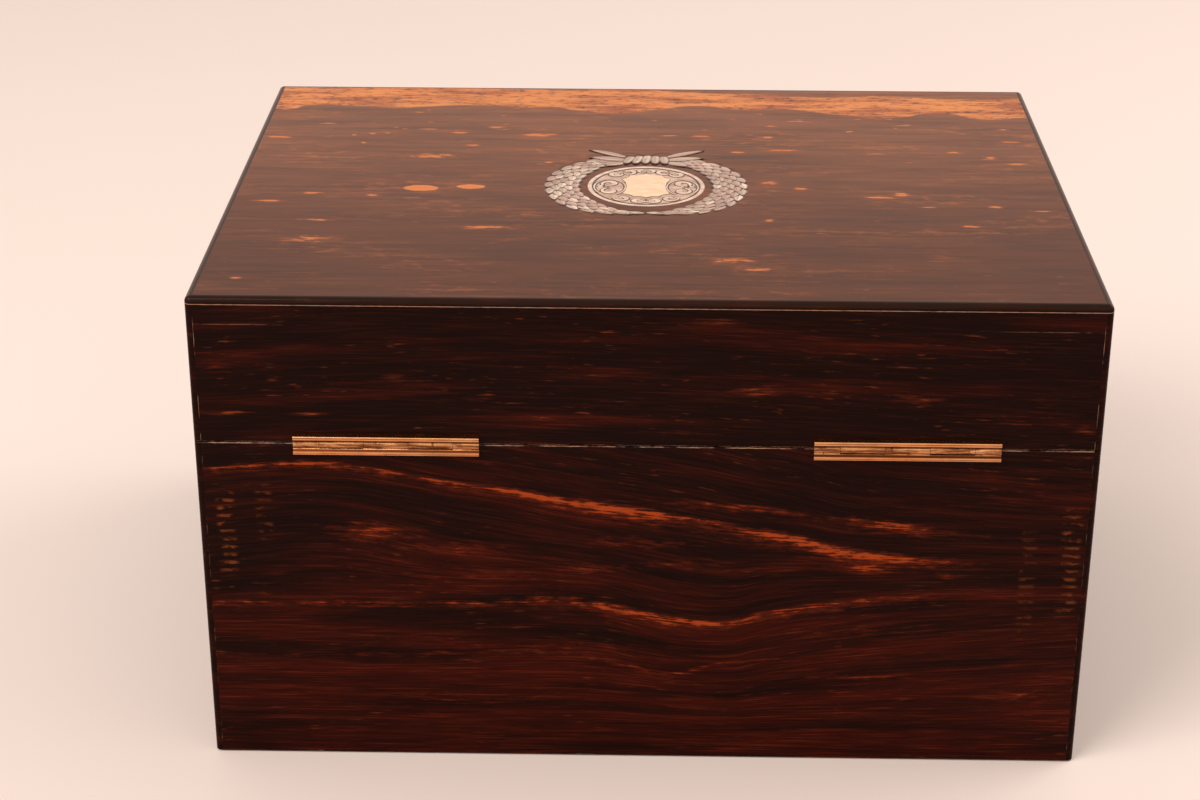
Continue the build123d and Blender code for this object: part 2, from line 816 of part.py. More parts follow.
# ---------------------------------------------------------------- lock
staple_places = (-staple_spread / 2, staple_spread / 2)
staple_low = lid_bottom - staple_drop
lock_inner_y = (-inner_y - lock_depth + lock_plate, -inner_y - lock_plate)
lock_middle_y = sum(lock_inner_y) / 2
eye_low = staple_low + staple_wall
eye_high = lock_top - staple_wall

with BuildPart() as lock_case:
    block((-half_lock, half_lock), lock_span, (lock_low, lock_top))
    block((-half_selvedge, half_selvedge), selvedge_span, (lock_top, case_top))
    room_x = half_lock - lock_plate
    block((-room_x, room_x), lock_inner_y, (lock_low + lock_plate, lock_top), Mode.SUBTRACT)
    slot_x = staple_width / 2 + staple_clearance
    slot_y = staple_thickness / 2 + staple_clearance
    for place in staple_places:
        block((place - slot_x, place + slot_x), (lock_middle_y - slot_y, lock_middle_y + slot_y),
              (lock_top - 1, case_top + 1), Mode.SUBTRACT)
    keyhole((-inner_y - lock_depth - 1, lock_inner_y[0]))
    with Locations((0, lock_middle_y, keyhole_height)):
        Cylinder(key_post_radius, lock_inner_y[1] - lock_inner_y[0], rotation=(90, 0, 0))
    screws(case_screw_places[-2:], 1, screw_clearance, Mode.SUBTRACT)
save(lock_case, "lock_case")

with BuildPart() as link_plate:
    block((-half_selvedge, half_selvedge), selvedge_span,
          (lid_bottom, lid_bottom + selvedge_thickness))
    half_staple = staple_thickness / 2
    half_eye = half_staple - staple_wall
    for place in staple_places:
        x_span = (place - staple_width / 2, place + staple_width / 2)
        block(x_span, (lock_middle_y - half_staple, lock_middle_y + half_staple),
              (staple_low, lid_bottom))
        block(x_span, (lock_middle_y - half_eye, lock_middle_y + half_eye),
              (eye_low, eye_high), Mode.SUBTRACT)
    screws(lid_screw_places[-2:], -1, screw_clearance, Mode.SUBTRACT)
save(link_plate, "link_plate")

with BuildPart() as lock_bolt:
    bolt_low = lock_low + lock_plate + bolt_clearance
    bolt_high = staple_low - bolt_clearance
    bolt_left = -room_x + bolt_clearance
    bolt_right = room_x - bolt_clearance - bolt_travel
    with BuildSketch(Plane(origin=(0, lock_middle_y, 0), x_dir=(1, 0, 0),
                           z_dir=(0, -1, 0))) as bolt_face:
        with Locations(((bolt_left + bolt_right) / 2, (bolt_low + bolt_high) / 2)):
            Rectangle(bolt_right - bolt_left, bolt_high - bolt_low)
        prong_low = eye_low + bolt_clearance
        prong_high = eye_high - bolt_clearance
        for place in staple_places:
            tip = place - staple_width / 2 - bolt_start
            root = tip - prong_length
            with Locations((root - prong_stem / 2, (bolt_high + prong_high) / 2)):
                Rectangle(prong_stem, prong_high - bolt_high)
            with Locations(((root + tip) / 2, (prong_low + prong_high) / 2)):
                Rectangle(tip - root, prong_high - prong_low)
        # Notch that the key turns in, wide enough for the key post over the whole travel.
        notch_width = bolt_travel + 2 * key_post_radius + 1.2
        notch_middle = -bolt_travel / 2
        notch_top = keyhole_height + key_post_radius + 1
        with Locations((notch_middle, (bolt_low + notch_top) / 2 - 0.5)):
            Rectangle(notch_width, notch_top - bolt_low + 1, mode=Mode.SUBTRACT)
    extrude(bolt_face.sketch, amount=bolt_thickness / 2, both=True)
save(lock_bolt, "lock_bolt")

# ---------------------------------------------------------------- compartment and tray
with BuildPart() as compartment_lining:
    block((-inner_x, inner_x), (-inner_y, inner_y), (deck_top, case_top - lining_drop))
    block(
        (-inner_x + lining, inner_x - lining),
        (-inner_y + lining, inner_y - lining),
        (compartment_floor, case_top),
        Mode.SUBTRACT,
    )
save(compartment_lining, "compartment_lining")

with BuildPart() as tray_frame:
    block((-tray_x, tray_x), (-tray_y, tray_y), (compartment_floor, tray_top))
    block((-cell_x, cell_x), (-cell_y, cell_y), (compartment_floor - 1, tray_top + 1),
          Mode.SUBTRACT)
    # Ledges that carry the manicure pad.
    for side in (-1, 1):
        block(sided(side, cell_x - ledge_reach, cell_x), (-cell_y, front_row_back),
              (ledge_height - ledge_thickness, ledge_height))
save(tray_frame, "tray_frame")

with BuildPart() as tray_floor:
    block((-cell_x, cell_x), (-cell_y, cell_y), (compartment_floor, tray_bed))
save(tray_floor, "tray_floor")

with BuildPart() as tray_dividers:
    for y_back in (back_row_front, middle_row_front):
        block((-cell_x, cell_x), (y_back - tray_divider, y_back), (tray_bed, tray_top))
    for side in (-1, 1):
        block(sided(side, corner_divider - tray_divider, corner_divider),
              (back_row_front, cell_y), (tray_bed, tray_top))
        centre_edge = centre_cell_width / 2
        block(sided(side, centre_edge, centre_edge + tray_divider),
              (middle_row_front, middle_row_back), (tray_bed, tray_top))
    block((-tray_divider / 2, tray_divider / 2), (back_row_front, cell_y), (tray_bed, tray_top))
save(tray_dividers, "tray_dividers")

pad_top = ledge_height + pad_thickness
pad_front = -cell_y + pad_clearance
pad_back = front_row_back - pad_clearance
pad_x = cell_x - pad_clearance
tool_length = pad_x - 2 * tool_end_room
tool_middle_y = (pad_front + pad_back) / 2
tool_axis = pad_top + tool_handle_radius * 0.35
tool_middles = [(side * (pad_x / 2), tool_middle_y + (number - (tool_count - 1) / 2) * tool_pitch)
                for side in (-1, 1) for number in range(tool_count)]

with BuildPart() as manicure_pad:
    block((-pad_x, pad_x), (pad_front, pad_back), (ledge_height, pad_top))
    for x, y in tool_middles:
        with Locations((x, y, tool_axis)):
            Cylinder(tool_groove_radius, tool_length + 4, rotation=(0, 90, 0), mode=Mode.SUBTRACT)
save(manicure_pad, "manicure_pad")


def turned_tool(x, y, points):
    """A turned solid along X from half-outline points, in the piece being built."""
    plane = Plane(origin=(x, y, tool_axis), x_dir=(1, 0, 0), z_dir=(0, -1, 0))
    with BuildSketch(plane) as outline:
        with BuildLine():
            Polyline(*points, close=True)
        make_face()
    revolve(outline.sketch, axis=Axis((x, y, tool_axis), (1, 0, 0)))


handle_start = -tool_length / 2
handle_end = handle_start + tool_handle_length
with BuildPart() as tool_handles:
    for x, y in tool_middles:
        turned_tool(x, y, (
            (handle_start, 0),
            (handle_start, tool_handle_radius * 0.6),
            (handle_start + tool_handle_swell, tool_handle_radius),
            (handle_end - tool_handle_waist, tool_handle_radius * 0.75),
            (handle_end, tool_handle_radius * 0.9),
            (handle_end, 0),
        ))
save(tool_handles, "tool_handles")

with BuildPart() as tool_blades:
    for x, y in tool_middles:
        turned_tool(x, y, (
            (handle_end, 0),
            (handle_end, tool_handle_radius * 0.8),
            (handle_end + tool_handle_swell, tool_blade_radius),
            (tool_length / 2 - tool_point, tool_blade_radius),
            (tool_length / 2, tool_point_radius),
            (tool_length / 2, 0),
        ))
save(tool_blades, "tool_blades")

# ---------------------------------------------------------------- jars and covers
bottle_side = corner_cell_width - 2 * bottle_play
bottle_body_height = tray_top - bottle_drop - tray_bed
bottle_shoulder_z = tray_bed + bottle_body_height
bottle_neck_foot = bottle_shoulder_z + bottle_shoulder
bottle_mouth = bottle_neck_foot + bottle_neck_height
bottle_places = [(side * bottle_x, back_row_middle) for side in (-1, 1)]

with BuildPart() as scent_bottles:
    for x, y in bottle_places:
        with BuildSketch(Plane.XY.offset(tray_bed)) as square:
            with Locations((x, y)):
                RectangleRounded(bottle_side, bottle_side, jar_round)
        extrude(square.sketch, amount=bottle_body_height)
        with BuildSketch(Plane.XY.offset(bottle_shoulder_z)) as shoulder_foot:
            with Locations((x, y)):
                RectangleRounded(bottle_side, bottle_side, jar_round)
        shoulder_top_side = 2 * bottle_neck_radius + 3
        with BuildSketch(Plane.XY.offset(bottle_neck_foot)) as shoulder_top:
            with Locations((x, y)):
                RectangleRounded(shoulder_top_side, shoulder_top_side, jar_round)
        loft([shoulder_foot.sketch, shoulder_top.sketch])
        with Locations((x, y, bottle_neck_foot + bottle_neck_height / 2)):
            Cylinder(bottle_neck_radius, bottle_neck_height)
        room = bottle_side - 2 * jar_wall
        room_floor = tray_bed + jar_floor
        with BuildSketch(Plane.XY.offset(room_floor)) as room_square:
            with Locations((x, y)):
                RectangleRounded(room, room, jar_round / 2)
        extrude(room_square.sketch, amount=bottle_body_height - jar_floor, mode=Mode.SUBTRACT)
        with Locations((x, y, (room_floor + bottle_mouth) / 2)):
            Cylinder(bottle_bore_radius, bottle_mouth - room_floor + 1, mode=Mode.SUBTRACT)
save(scent_bottles, "scent_bottles")

with BuildPart() as scent_bottle_caps:
    for x, y in bottle_places:
        foot = bottle_neck_foot + cover_fit
        top = foot + bottle_cap_height
        with BuildSketch(Plane(origin=(x, y, 0), x_dir=(1, 0, 0), z_dir=(0, -1, 0))) as cap_half:
            with BuildLine():
                Polyline(
                    (0, bottle_mouth),
                    (bottle_neck_radius + cover_fit, bottle_mouth),
                    (bottle_neck_radius + cover_fit, foot),
                    (bottle_cap_radius, foot),
                    (bottle_cap_radius, top - 7),
                    (bottle_cap_radius * 0.86, top - 2.5),
                    (bottle_cap_radius * 0.45, top),
                    (0, top),
                    close=True,
                )
            make_face()
        revolve(cap_half.sketch, axis=Axis((x, y, 0), (0, 0, 1)))
save(scent_bottle_caps, "scent_bottle_caps")

long_jar_places = [(side * long_jar_x, back_row_middle) for side in (-1, 1)]
long_jar_length = long_cell_width - 2 * jar_play
long_jar_width = back_row_depth - 2 * jar_play
long_jar_top = tray_top - long_jar_drop
long_jar_height = long_jar_top - tray_bed
neck_step = cover_wall + cover_fit

with BuildPart() as toilet_jars:
    for x, y in long_jar_places:
        with BuildSketch(Plane.XY.offset(tray_bed)) as body:
            with Locations((x, y)):
                RectangleRounded(long_jar_length, long_jar_width, jar_round)
        extrude(body.sketch, amount=long_jar_height - cover_skirt)
        with BuildSketch(Plane.XY.offset(tray_bed)) as neck:
            with Locations((x, y)):
                RectangleRounded(long_jar_length - 2 * neck_step, long_jar_width - 2 * neck_step,
                                 jar_round)
        extrude(neck.sketch, amount=long_jar_height)
        with BuildSketch(Plane.XY.offset(tray_bed + jar_floor)) as room_outline:
            with Locations((x, y)):
                RectangleRounded(long_jar_length - 2 * jar_wall, long_jar_width - 2 * jar_wall,
                                 jar_round / 2)
        extrude(room_outline.sketch, amount=long_jar_height, mode=Mode.SUBTRACT)
save(toilet_jars, "toilet_jars")

with BuildPart() as toilet_jar_covers:
    for x, y in long_jar_places:
        skirt_low = long_jar_top - cover_skirt + cover_fit
        with BuildSketch(Plane.XY.offset(skirt_low)) as skirt:
            with Locations((x, y)):
                RectangleRounded(long_jar_length, long_jar_width, jar_round)
        extrude(skirt.sketch, amount=long_jar_top + cover_wall - skirt_low)
        with BuildSketch(Plane.XY.offset(long_jar_top + cover_wall)) as crown_foot:
            with Locations((x, y)):
                RectangleRounded(long_jar_length, long_jar_width, jar_round)
        with BuildSketch(Plane.XY.offset(long_jar_top + cover_wall + cover_rise)) as crown_top:
            with Locations((x, y)):
                RectangleRounded(long_jar_length - 2 * cover_crown_inset,
                                 long_jar_width - 2 * cover_crown_inset, jar_round)
        loft([crown_foot.sketch, crown_top.sketch])
        with BuildSketch(Plane.XY.offset(skirt_low)) as bore:
            with Locations((x, y)):
                RectangleRounded(long_jar_length - 2 * cover_wall, long_jar_width - 2 * cover_wall,
                                 jar_round)
        extrude(bore.sketch, amount=long_jar_top - skirt_low, mode=Mode.SUBTRACT)
save(toilet_jar_covers, "toilet_jar_covers")


def half_outline(x, y, points):
    """A closed half outline beside a vertical axis, ready to be turned."""
    with BuildSketch(Plane(origin=(x, y, 0), x_dir=(1, 0, 0), z_dir=(0, -1, 0))) as outline:
        with BuildLine():
            Polyline(*points, close=True)
        make_face()
    return outline.sketch


powder_top = tray_top - powder_jar_drop
powder_neck = powder_jar_radius - neck_step
powder_room = powder_jar_radius - jar_wall
powder_step = powder_top - cover_skirt
with BuildPart() as powder_jar:
    revolve(half_outline(0, powder_y, (
        (0, tray_bed),
        (powder_jar_radius - 2, tray_bed),
        (powder_jar_radius, tray_bed + 2),
        (powder_jar_radius, powder_step),
        (powder_neck, powder_step),
        (powder_neck, powder_top),
        (powder_room, powder_top),
        (powder_room, tray_bed + jar_floor),
        (0, tray_bed + jar_floor),
    )), axis=Axis((0, powder_y, 0), (0, 0, 1)))
save(powder_jar, "powder_jar")

with BuildPart() as powder_jar_cover:
    revolve(half_outline(0, powder_y, (
        (0, powder_top),
        (powder_jar_radius - cover_wall, powder_top),
        (powder_jar_radius - cover_wall, powder_step + cover_fit),
        (powder_jar_radius, powder_step + cover_fit),
        (powder_jar_radius, powder_top + cover_wall),
        (powder_jar_radius * dome_shoulder[0],
         powder_top + cover_wall + cover_rise * dome_shoulder[1]),
        (powder_jar_radius * dome_crown[0],
         powder_top + cover_wall + cover_rise * dome_crown[1]),
        (0, powder_top + cover_wall + cover_rise),
    )), axis=Axis((0, powder_y, 0), (0, 0, 1)))
save(powder_jar_cover, "powder_jar_cover")

# ---------------------------------------------------------------- inside of the lid
border_x = inner_x - lid_border_clearance
border_y = inner_y - lid_border_clearance
frame_x = border_x - mirror_surround
frame_y = border_y - mirror_surround
glass_low = lid_border_face + mirror_lip
glass_high = glass_low + mirror_glass_thickness
sight_x = frame_x - mirror_frame_width
sight_y = frame_y - mirror_frame_width
glass_x = sight_x + mirror_rebate
glass_y = sight_y + mirror_rebate
catch_y = -frame_y - catch_length / 2 + catch_overlap
catch_top = lid_border_face - catch_lift
catch_low = catch_top - catch_thickness

with BuildPart() as lid_border:
    block((-border_x, border_x), (-border_y, border_y), (lid_border_face, lid_ceiling))
    slot_half_x = frame_x + mirror_clearance
    slot_half_y = frame_y + mirror_clearance
    block((-slot_half_x, slot_half_x), (-slot_half_y, slot_half_y),
          (lid_border_face - 1, lid_ceiling + 1), Mode.SUBTRACT)
    # Pivot screw of the mirror's turn catch, with its head below the catch.
    head_low = catch_low - catch_head_gap - catch_head_thickness
    with Locations((0, catch_y, (head_low + lid_border_face) / 2)):
        Cylinder(catch_screw_radius, lid_border_face - head_low)
    with Locations((0, catch_y, head_low + catch_head_thickness / 2)):
        Cylinder(catch_head_radius, catch_head_thickness)
save(lid_border, "lid_border")

with BuildPart() as mirror_frame:
    block((-frame_x, frame_x), (-frame_y, frame_y), (lid_border_face, lid_ceiling))
    block((-glass_x - mirror_clearance, glass_x + mirror_clearance),
          (-glass_y - mirror_clearance, glass_y + mirror_clearance),
          (glass_low, glass_high), Mode.SUBTRACT)
    sight_low = lid_border_face - 1
    with BuildSketch(Plane.XY.offset(sight_low)) as sight_mouth:
        Rectangle(2 * (sight_x + mirror_bevel), 2 * (sight_y + mirror_bevel))
    with BuildSketch(Plane.XY.offset(glass_low)) as sight_back:
        Rectangle(2 * sight_x, 2 * sight_y)
    loft([sight_mouth.sketch, sight_back.sketch], mode=Mode.SUBTRACT)
save(mirror_frame, "mirror_frame")

with BuildPart() as mirror_glass:
    block((-glass_x, glass_x), (-glass_y, glass_y), (glass_low, glass_high))
save(mirror_glass, "mirror_glass")

with BuildPart() as mirror_catch:
    with BuildSketch(Plane.XY.offset(catch_low)) as catch_face:
        with Locations((0, catch_y)):
            SlotOverall(catch_length, catch_width, rotation=90)
            Circle(catch_screw_radius + catch_hole_play, mode=Mode.SUBTRACT)
    extrude(catch_face.sketch, amount=catch_thickness)
save(mirror_catch, "mirror_catch")

# ---------------------------------------------------------------- drawer release
with BuildPart() as release_button:
    with Locations((release_x, release_y, (button_under + button_top) / 2)):
        Cylinder(button_radius, button_thickness)
    with Locations((release_x, release_y, (rod_foot_height + button_under) / 2)):
        Cylinder(rod_radius, button_under - rod_foot_height)
    block((inner_x - tongue_reach, release_x), (release_y - rod_radius, release_y + rod_radius),
          (rod_foot_height, tongue_top))
save(release_button, "release_button")

with BuildPart() as catch_spring:
    spring_inner = rod_radius + 0.2
    with Locations((release_x, release_y, (well_floor + button_under) / 2)):
        Cylinder(spring_inner + catch_spring_wall, button_under - well_floor)
        Cylinder(spring_inner, button_under - well_floor, mode=Mode.SUBTRACT)
save(catch_spring, "catch_spring")

# ---------------------------------------------------------------- drawer
channel_depth = tongue_reach - drawer_gap + tongue_room
channel_x = (drawer_x - channel_depth, drawer_x)
channel_front = release_y - rod_radius - tongue_play
keeper_front = release_y + rod_radius + tongue_play
drawer_front_y = (-core_y, drawer_inner_front)
drawer_tail_shapes = tail_profiles(-1, -drawer_inner_front, drawer_tail_length,
                                   drawer_bed, drawer_side_top, drawer_tails)
bottom_slot = (drawer_low + drawer_bottom_rise, drawer_bed)

with BuildPart() as drawer_front:
    block((-drawer_x, drawer_x), drawer_front_y, (drawer_low, drawer_high))
    for side in (-1, 1):
        across(drawer_tail_shapes, sided(side, drawer_inner_x, drawer_x), Mode.SUBTRACT)
    block((-drawer_inner_x - drawer_groove, drawer_inner_x + drawer_groove),
          (drawer_inner_front - drawer_groove, drawer_inner_front), bottom_slot, Mode.SUBTRACT)
save(drawer_front, "drawer_front")

with BuildPart() as drawer_veneer:
    block((-drawer_x, drawer_x), (-half_depth, -core_y), (drawer_low, drawer_high))
save(drawer_veneer, "drawer_veneer")

with BuildPart() as drawer_sides:
    for side in (-1, 1):
        x_span = sided(side, drawer_inner_x, drawer_x)
        block(x_span, (drawer_inner_front, drawer_back_y), (drawer_low, drawer_side_top))
        across(drawer_tail_shapes, x_span)
        block(sided(side, drawer_inner_x, drawer_inner_x + drawer_groove),
              (drawer_inner_front, drawer_back_y), bottom_slot, Mode.SUBTRACT)
    # Channel that the release tongue runs in, its notch, and the seat of the keeper.
    block(channel_x, (channel_front, drawer_back_y + 1), (channel_low, channel_high),
          Mode.SUBTRACT)
    block(channel_x, (channel_front, keeper_front + keeper_length),
          (channel_high, channel_high + keeper_height), Mode.SUBTRACT)
save(drawer_sides, "drawer_sides")

with BuildPart() as drawer_keeper:
    block(channel_x, (keeper_front, keeper_front + keeper_length),
          (channel_high, channel_high + keeper_height))
save(drawer_keeper, "drawer_keeper")

with BuildPart() as drawer_back:
    block((-drawer_inner_x, drawer_inner_x), (drawer_inner_back, drawer_back_y),
          (drawer_bed, drawer_side_top))
save(drawer_back, "drawer_back")

with BuildPart() as drawer_bottom:
    bottom_x = drawer_inner_x + drawer_groove
    block((-bottom_x, bottom_x), (drawer_inner_front - drawer_groove, drawer_back_y), bottom_slot)
save(drawer_bottom, "drawer_bottom")

lining_x = drawer_inner_x - drawer_lining_thickness
lining_front = drawer_inner_front + drawer_lining_thickness
lining_back = drawer_inner_back - drawer_lining_thickness
lining_bed = drawer_bed + drawer_lining_thickness
lining_top = drawer_side_top - drawer_divider_drop / 2
with BuildPart() as drawer_lining:
    block((-drawer_inner_x, drawer_inner_x), (drawer_inner_front, drawer_inner_back),
          (drawer_bed, lining_top))
    block((-lining_x, lining_x), (lining_front, lining_back),
          (lining_bed, lining_top + 1), Mode.SUBTRACT)
save(drawer_lining, "drawer_lining")

divider_x = drawer_divider_spread / 2
with BuildPart() as drawer_dividers:
    for side in (-1, 1):
        block(sided(side, divider_x - drawer_divider / 2, divider_x + drawer_divider / 2),
              (lining_front, lining_back), (lining_bed, drawer_side_top - drawer_divider_drop))
save(drawer_dividers, "drawer_dividers")

roll_low_x = divider_x + drawer_divider / 2
roll_count = int((lining_back - lining_front) / ring_roll_pitch)
roll_start = (lining_front + lining_back - roll_count * ring_roll_pitch) / 2
with BuildPart() as ring_rolls:
    block((roll_low_x, lining_x), (lining_front, lining_back),
          (lining_bed, lining_bed + ring_roll_base))
    with BuildSketch(Plane.YZ.offset(roll_low_x)) as roll_ends:
        for number in range(roll_count):
            with Locations((roll_start + (number + 0.5) * ring_roll_pitch,
                            lining_bed + ring_roll_base)):
                Circle(ring_roll_radius)
        roll_middle = (lining_front + lining_back) / 2
        with Locations((roll_middle, lining_bed + ring_roll_base - ring_roll_radius)):
            Rectangle(lining_back - lining_front, 2 * ring_roll_radius, mode=Mode.SUBTRACT)
    extrude(roll_ends.sketch, amount=lining_x - roll_low_x)
save(ring_rolls, "ring_rolls")

# Bow spring behind the drawer, seated on the back board and touching the drawer's back.
with BuildPart() as drawer_spring:
    spring_middle_z = (drawer_low + drawer_side_top) / 2
    rise = drawer_spring_room - drawer_spring_strip - drawer_spring_ease
    half_span = drawer_spring_span / 2
    with BuildSketch(Plane.XY.offset(spring_middle_z - drawer_spring_width / 2)) as strip:
        with BuildLine() as bow:
            ThreePointArc(
                (-half_span, inner_y - drawer_spring_strip / 2),
                (0, inner_y - drawer_spring_strip / 2 - rise),
                (half_span, inner_y - drawer_spring_strip / 2),
            )
        trace(bow.line, drawer_spring_strip)
    extrude(strip.sketch, amount=drawer_spring_width)
    # The ends are cut flush with the back board.
    block((-box_width, box_width), (drawer_back_y, inner_y), (drawer_floor, deck_height),
          Mode.INTERSECT)
save(drawer_spring, "drawer_spring")

print("drawer spring rise", round(rise, 2), "mm; ring rolls", roll_count)
cap_top = bottle_neck_foot + cover_fit + bottle_cap_height
print("bottle cap top", round(cap_top, 1), "mm, under the mirror at", round(lid_border_face, 1), "mm")
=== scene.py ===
# %% [markdown]
# # Antique fitted dressing box
# A travelling box of the 1850s: near-black coromandel veneer over mahogany, two stopped brass
# hinges, and a laurel wreath and a round plaque of mother-of-pearl let into the lid. The carcass,
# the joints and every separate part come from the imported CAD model. This notebook gives them
# their finish, and makes again in finer detail what a solid model can't show: carved leaves,
# engraved lines, velvet, leather and cut glass.

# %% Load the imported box
import math
import random

import bmesh
import bpy
from mathutils import Matrix, Vector


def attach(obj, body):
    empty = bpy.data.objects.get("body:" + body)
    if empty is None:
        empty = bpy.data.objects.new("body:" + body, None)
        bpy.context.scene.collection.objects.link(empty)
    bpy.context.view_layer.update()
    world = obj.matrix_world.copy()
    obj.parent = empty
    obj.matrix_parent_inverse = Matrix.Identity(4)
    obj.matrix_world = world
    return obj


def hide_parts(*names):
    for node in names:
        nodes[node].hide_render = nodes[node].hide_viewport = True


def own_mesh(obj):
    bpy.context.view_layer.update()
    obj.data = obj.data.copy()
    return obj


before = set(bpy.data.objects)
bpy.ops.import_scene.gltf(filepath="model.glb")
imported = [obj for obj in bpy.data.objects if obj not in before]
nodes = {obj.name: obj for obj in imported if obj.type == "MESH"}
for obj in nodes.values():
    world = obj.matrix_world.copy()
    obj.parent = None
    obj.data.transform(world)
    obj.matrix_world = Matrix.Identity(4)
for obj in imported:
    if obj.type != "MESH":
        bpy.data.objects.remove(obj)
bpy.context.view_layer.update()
mm = 0.001


def new_object(name, data):
    """A new object at the origin, linked to the scene."""
    made = bpy.data.objects.new(name, data)
    bpy.context.scene.collection.objects.link(made)
    return made


# %% [markdown]
# ## Camera
# The photograph looks at the back of the shut box, from a little above, with a long lens. A
# camera's place can be set with an empty as target, or written as a matrix. Here the matrix's
# columns are the camera's right, up and backward directions, found by fitting the box's corners.

# %% Set the camera
camera = new_object("camera", bpy.data.cameras.new("camera"))
camera.data.sensor_width = 36.0
camera.data.lens = 74.4
camera_right = Vector((-0.99978, -0.02093, 0.00182))
camera_up = Vector((0.01038, -0.41686, 0.9089))
camera_back = Vector((-0.01827, 0.9087, 0.4170))
turn = Matrix((camera_right, camera_up, camera_back)).transposed().to_4x4()
camera.matrix_world = Matrix.Translation((0.0005, 0.8658, 0.4838)) @ turn
bpy.context.scene.camera = camera
print("camera at", [round(value, 3) for value in camera.location])

# %% [markdown]
# ## Short words for node trees
# A material is a small program of nodes and links. Adding each node by hand takes many lines.
# Here one class keeps a tree and adds nodes to it, and another stands for what a node gives, so
# that a plain sum such as `depth * 0.5 + 1` adds the two nodes it needs.


# %% Helpers for wiring nodes
class Value:
    """What one node gives. Sums, differences and products add the nodes they need."""

    def __init__(self, w, socket):
        self.w = w
        self.socket = socket

    def __add__(self, other):
        return self.w.math("ADD", self, other)

    def __sub__(self, other):
        return self.w.math("SUBTRACT", self, other)

    def __rsub__(self, other):
        return self.w.math("SUBTRACT", other, self)

    def __mul__(self, other):
        return self.w.math("MULTIPLY", self, other)

    def __abs__(self):
        return self.w.math("ABSOLUTE", self)


class Wires:
    """Adds nodes to one tree. What goes into a node is a number, a colour or a Value."""

    def __init__(self, tree):
        self.tree = tree

    def feed(self, socket, value):
        if isinstance(value, Value):
            self.tree.links.new(value.socket, socket)
        elif socket.type == "RGBA":
            socket.default_value = (*value, 1)
        else:
            socket.default_value = value

    def named(self, outputs):
        return {output.name: Value(self, output) for output in outputs}

    def node(self, kind, values, out=0, **settings):
        made = self.tree.nodes.new(kind)
        for name, setting in settings.items():
            setattr(made, name, setting)
        for socket, value in values.items():
            self.feed(made.inputs[socket], value)
        return Value(self, made.outputs[out])

    def group(self, tree, **values):
        """Places a shared effect and returns what it gives, by name."""
        made = self.tree.nodes.new("ShaderNodeGroup")
        made.node_tree = tree
        for label, value in values.items():
            self.feed(made.inputs[label.replace("_", " ")], value)
        return self.named(made.outputs)

    def math(self, operation, first, second=0.0):
        return self.node("ShaderNodeMath", {0: first, 1: second}, operation=operation)

    def most(self, *values):
        best = values[0]
        for value in values[1:]:
            best = self.math("MAXIMUM", best, value)
        return best

    def step(self, value, low, high, start=0.0, end=1.0):
        """A soft threshold: start below low, end above high."""
        return self.node("ShaderNodeMapRange", {0: value, 1: low, 2: high, 3: start, 4: end},
                         interpolation_type="SMOOTHSTEP")

    def blend(self, share, first, second, kind="MIX"):
        return self.node("ShaderNodeMix", {0: share, 6: first, 7: second}, out=2,
                         data_type="RGBA", blend_type=kind)

    def join(self, x, y, z=0.0):
        return self.node("ShaderNodeCombineXYZ", {0: x, 1: y, 2: z})

    def split(self, vector):
        made = self.tree.nodes.new("ShaderNodeSeparateXYZ")
        self.feed(made.inputs[0], vector)
        return [Value(self, output) for output in made.outputs]

    def noise(self, x, y, z=0.0, detail=2.0, roughness=0.5):
        """Noise with blobs one unit wide on the given coordinates."""
        return self.node("ShaderNodeTexNoise",
                         {"Vector": self.join(x, y, z), "Scale": 1.0, "Detail": detail,
                          "Roughness": roughness})

    def stretched(self, x, y, long, wide, seed=0.0, detail=2.0, roughness=0.5):
        """Noise with blobs so many millimetres long and wide. The coordinates are in metres."""
        return self.noise(x * (1 / (long * mm)), y * (1 / (wide * mm)), seed, detail, roughness)

    def spread(self, place, scales, detail=2.0, roughness=0.5):
        """Noise in three directions. Scales say how many blobs lie in a metre of each."""
        if isinstance(scales, float):
            scales = (scales, scales, scales)
        return self.noise(*[part * scale for part, scale in zip(place, scales)], detail, roughness)

    def curve(self, value, points, low, high):
        """The height of a drawn curve at value. Points and the range of value are in metres."""
        made = self.tree.nodes.new("ShaderNodeFloatCurve")
        drawn = made.mapping.curves[0]
        shares = [((x - low) / (high - low), y) for x, y in sorted(points)]
        for number, place in enumerate(shares):
            if number < 2:
                drawn.points[number].location = place
            else:
                drawn.points.new(*place)
        made.mapping.extend = "HORIZONTAL"
        made.mapping.use_clip = False
        made.mapping.update()
        self.feed(made.inputs["Value"], self.node(
            "ShaderNodeMapRange", {0: value, 1: low, 2: high}, clamp=True))
        return Value(self, made.outputs[0])


def effect(name, inputs, outputs):
    """An empty shader node group with named inputs and outputs."""
    tree = bpy.data.node_groups.new(name, "ShaderNodeTree")
    for label, default in inputs.items():
        kind = "NodeSocketVector" if default is None else "NodeSocketFloat"
        socket = tree.interface.new_socket(label, in_out="INPUT", socket_type=kind)
        if default is not None:
            socket.default_value = default
    for label, kind in outputs.items():
        tree.interface.new_socket(label, in_out="OUTPUT", socket_type="NodeSocket" + kind)
    w = Wires(tree)
    into = w.named(tree.nodes.new("NodeGroupInput").outputs)
    return tree, w, into, tree.nodes.new("NodeGroupOutput").inputs


def principled(tree):
    return next(node for node in tree.nodes if node.type == "BSDF_PRINCIPLED").inputs


def material(name, **uniform):
    """A material with one Principled shader. Uniform values stand on its own sockets."""
    made = bpy.data.materials.new(name)
    made.use_nodes = True
    shader = principled(made.node_tree)
    for socket, value in uniform.items():
        shader[socket.replace("_", " ")].default_value = value
    return made, Wires(made.node_tree), shader


def object_place(w):
    """The Object coordinates, which are metres in the box's own frame."""
    return w.node("ShaderNodeTexCoord", {}, out="Object")


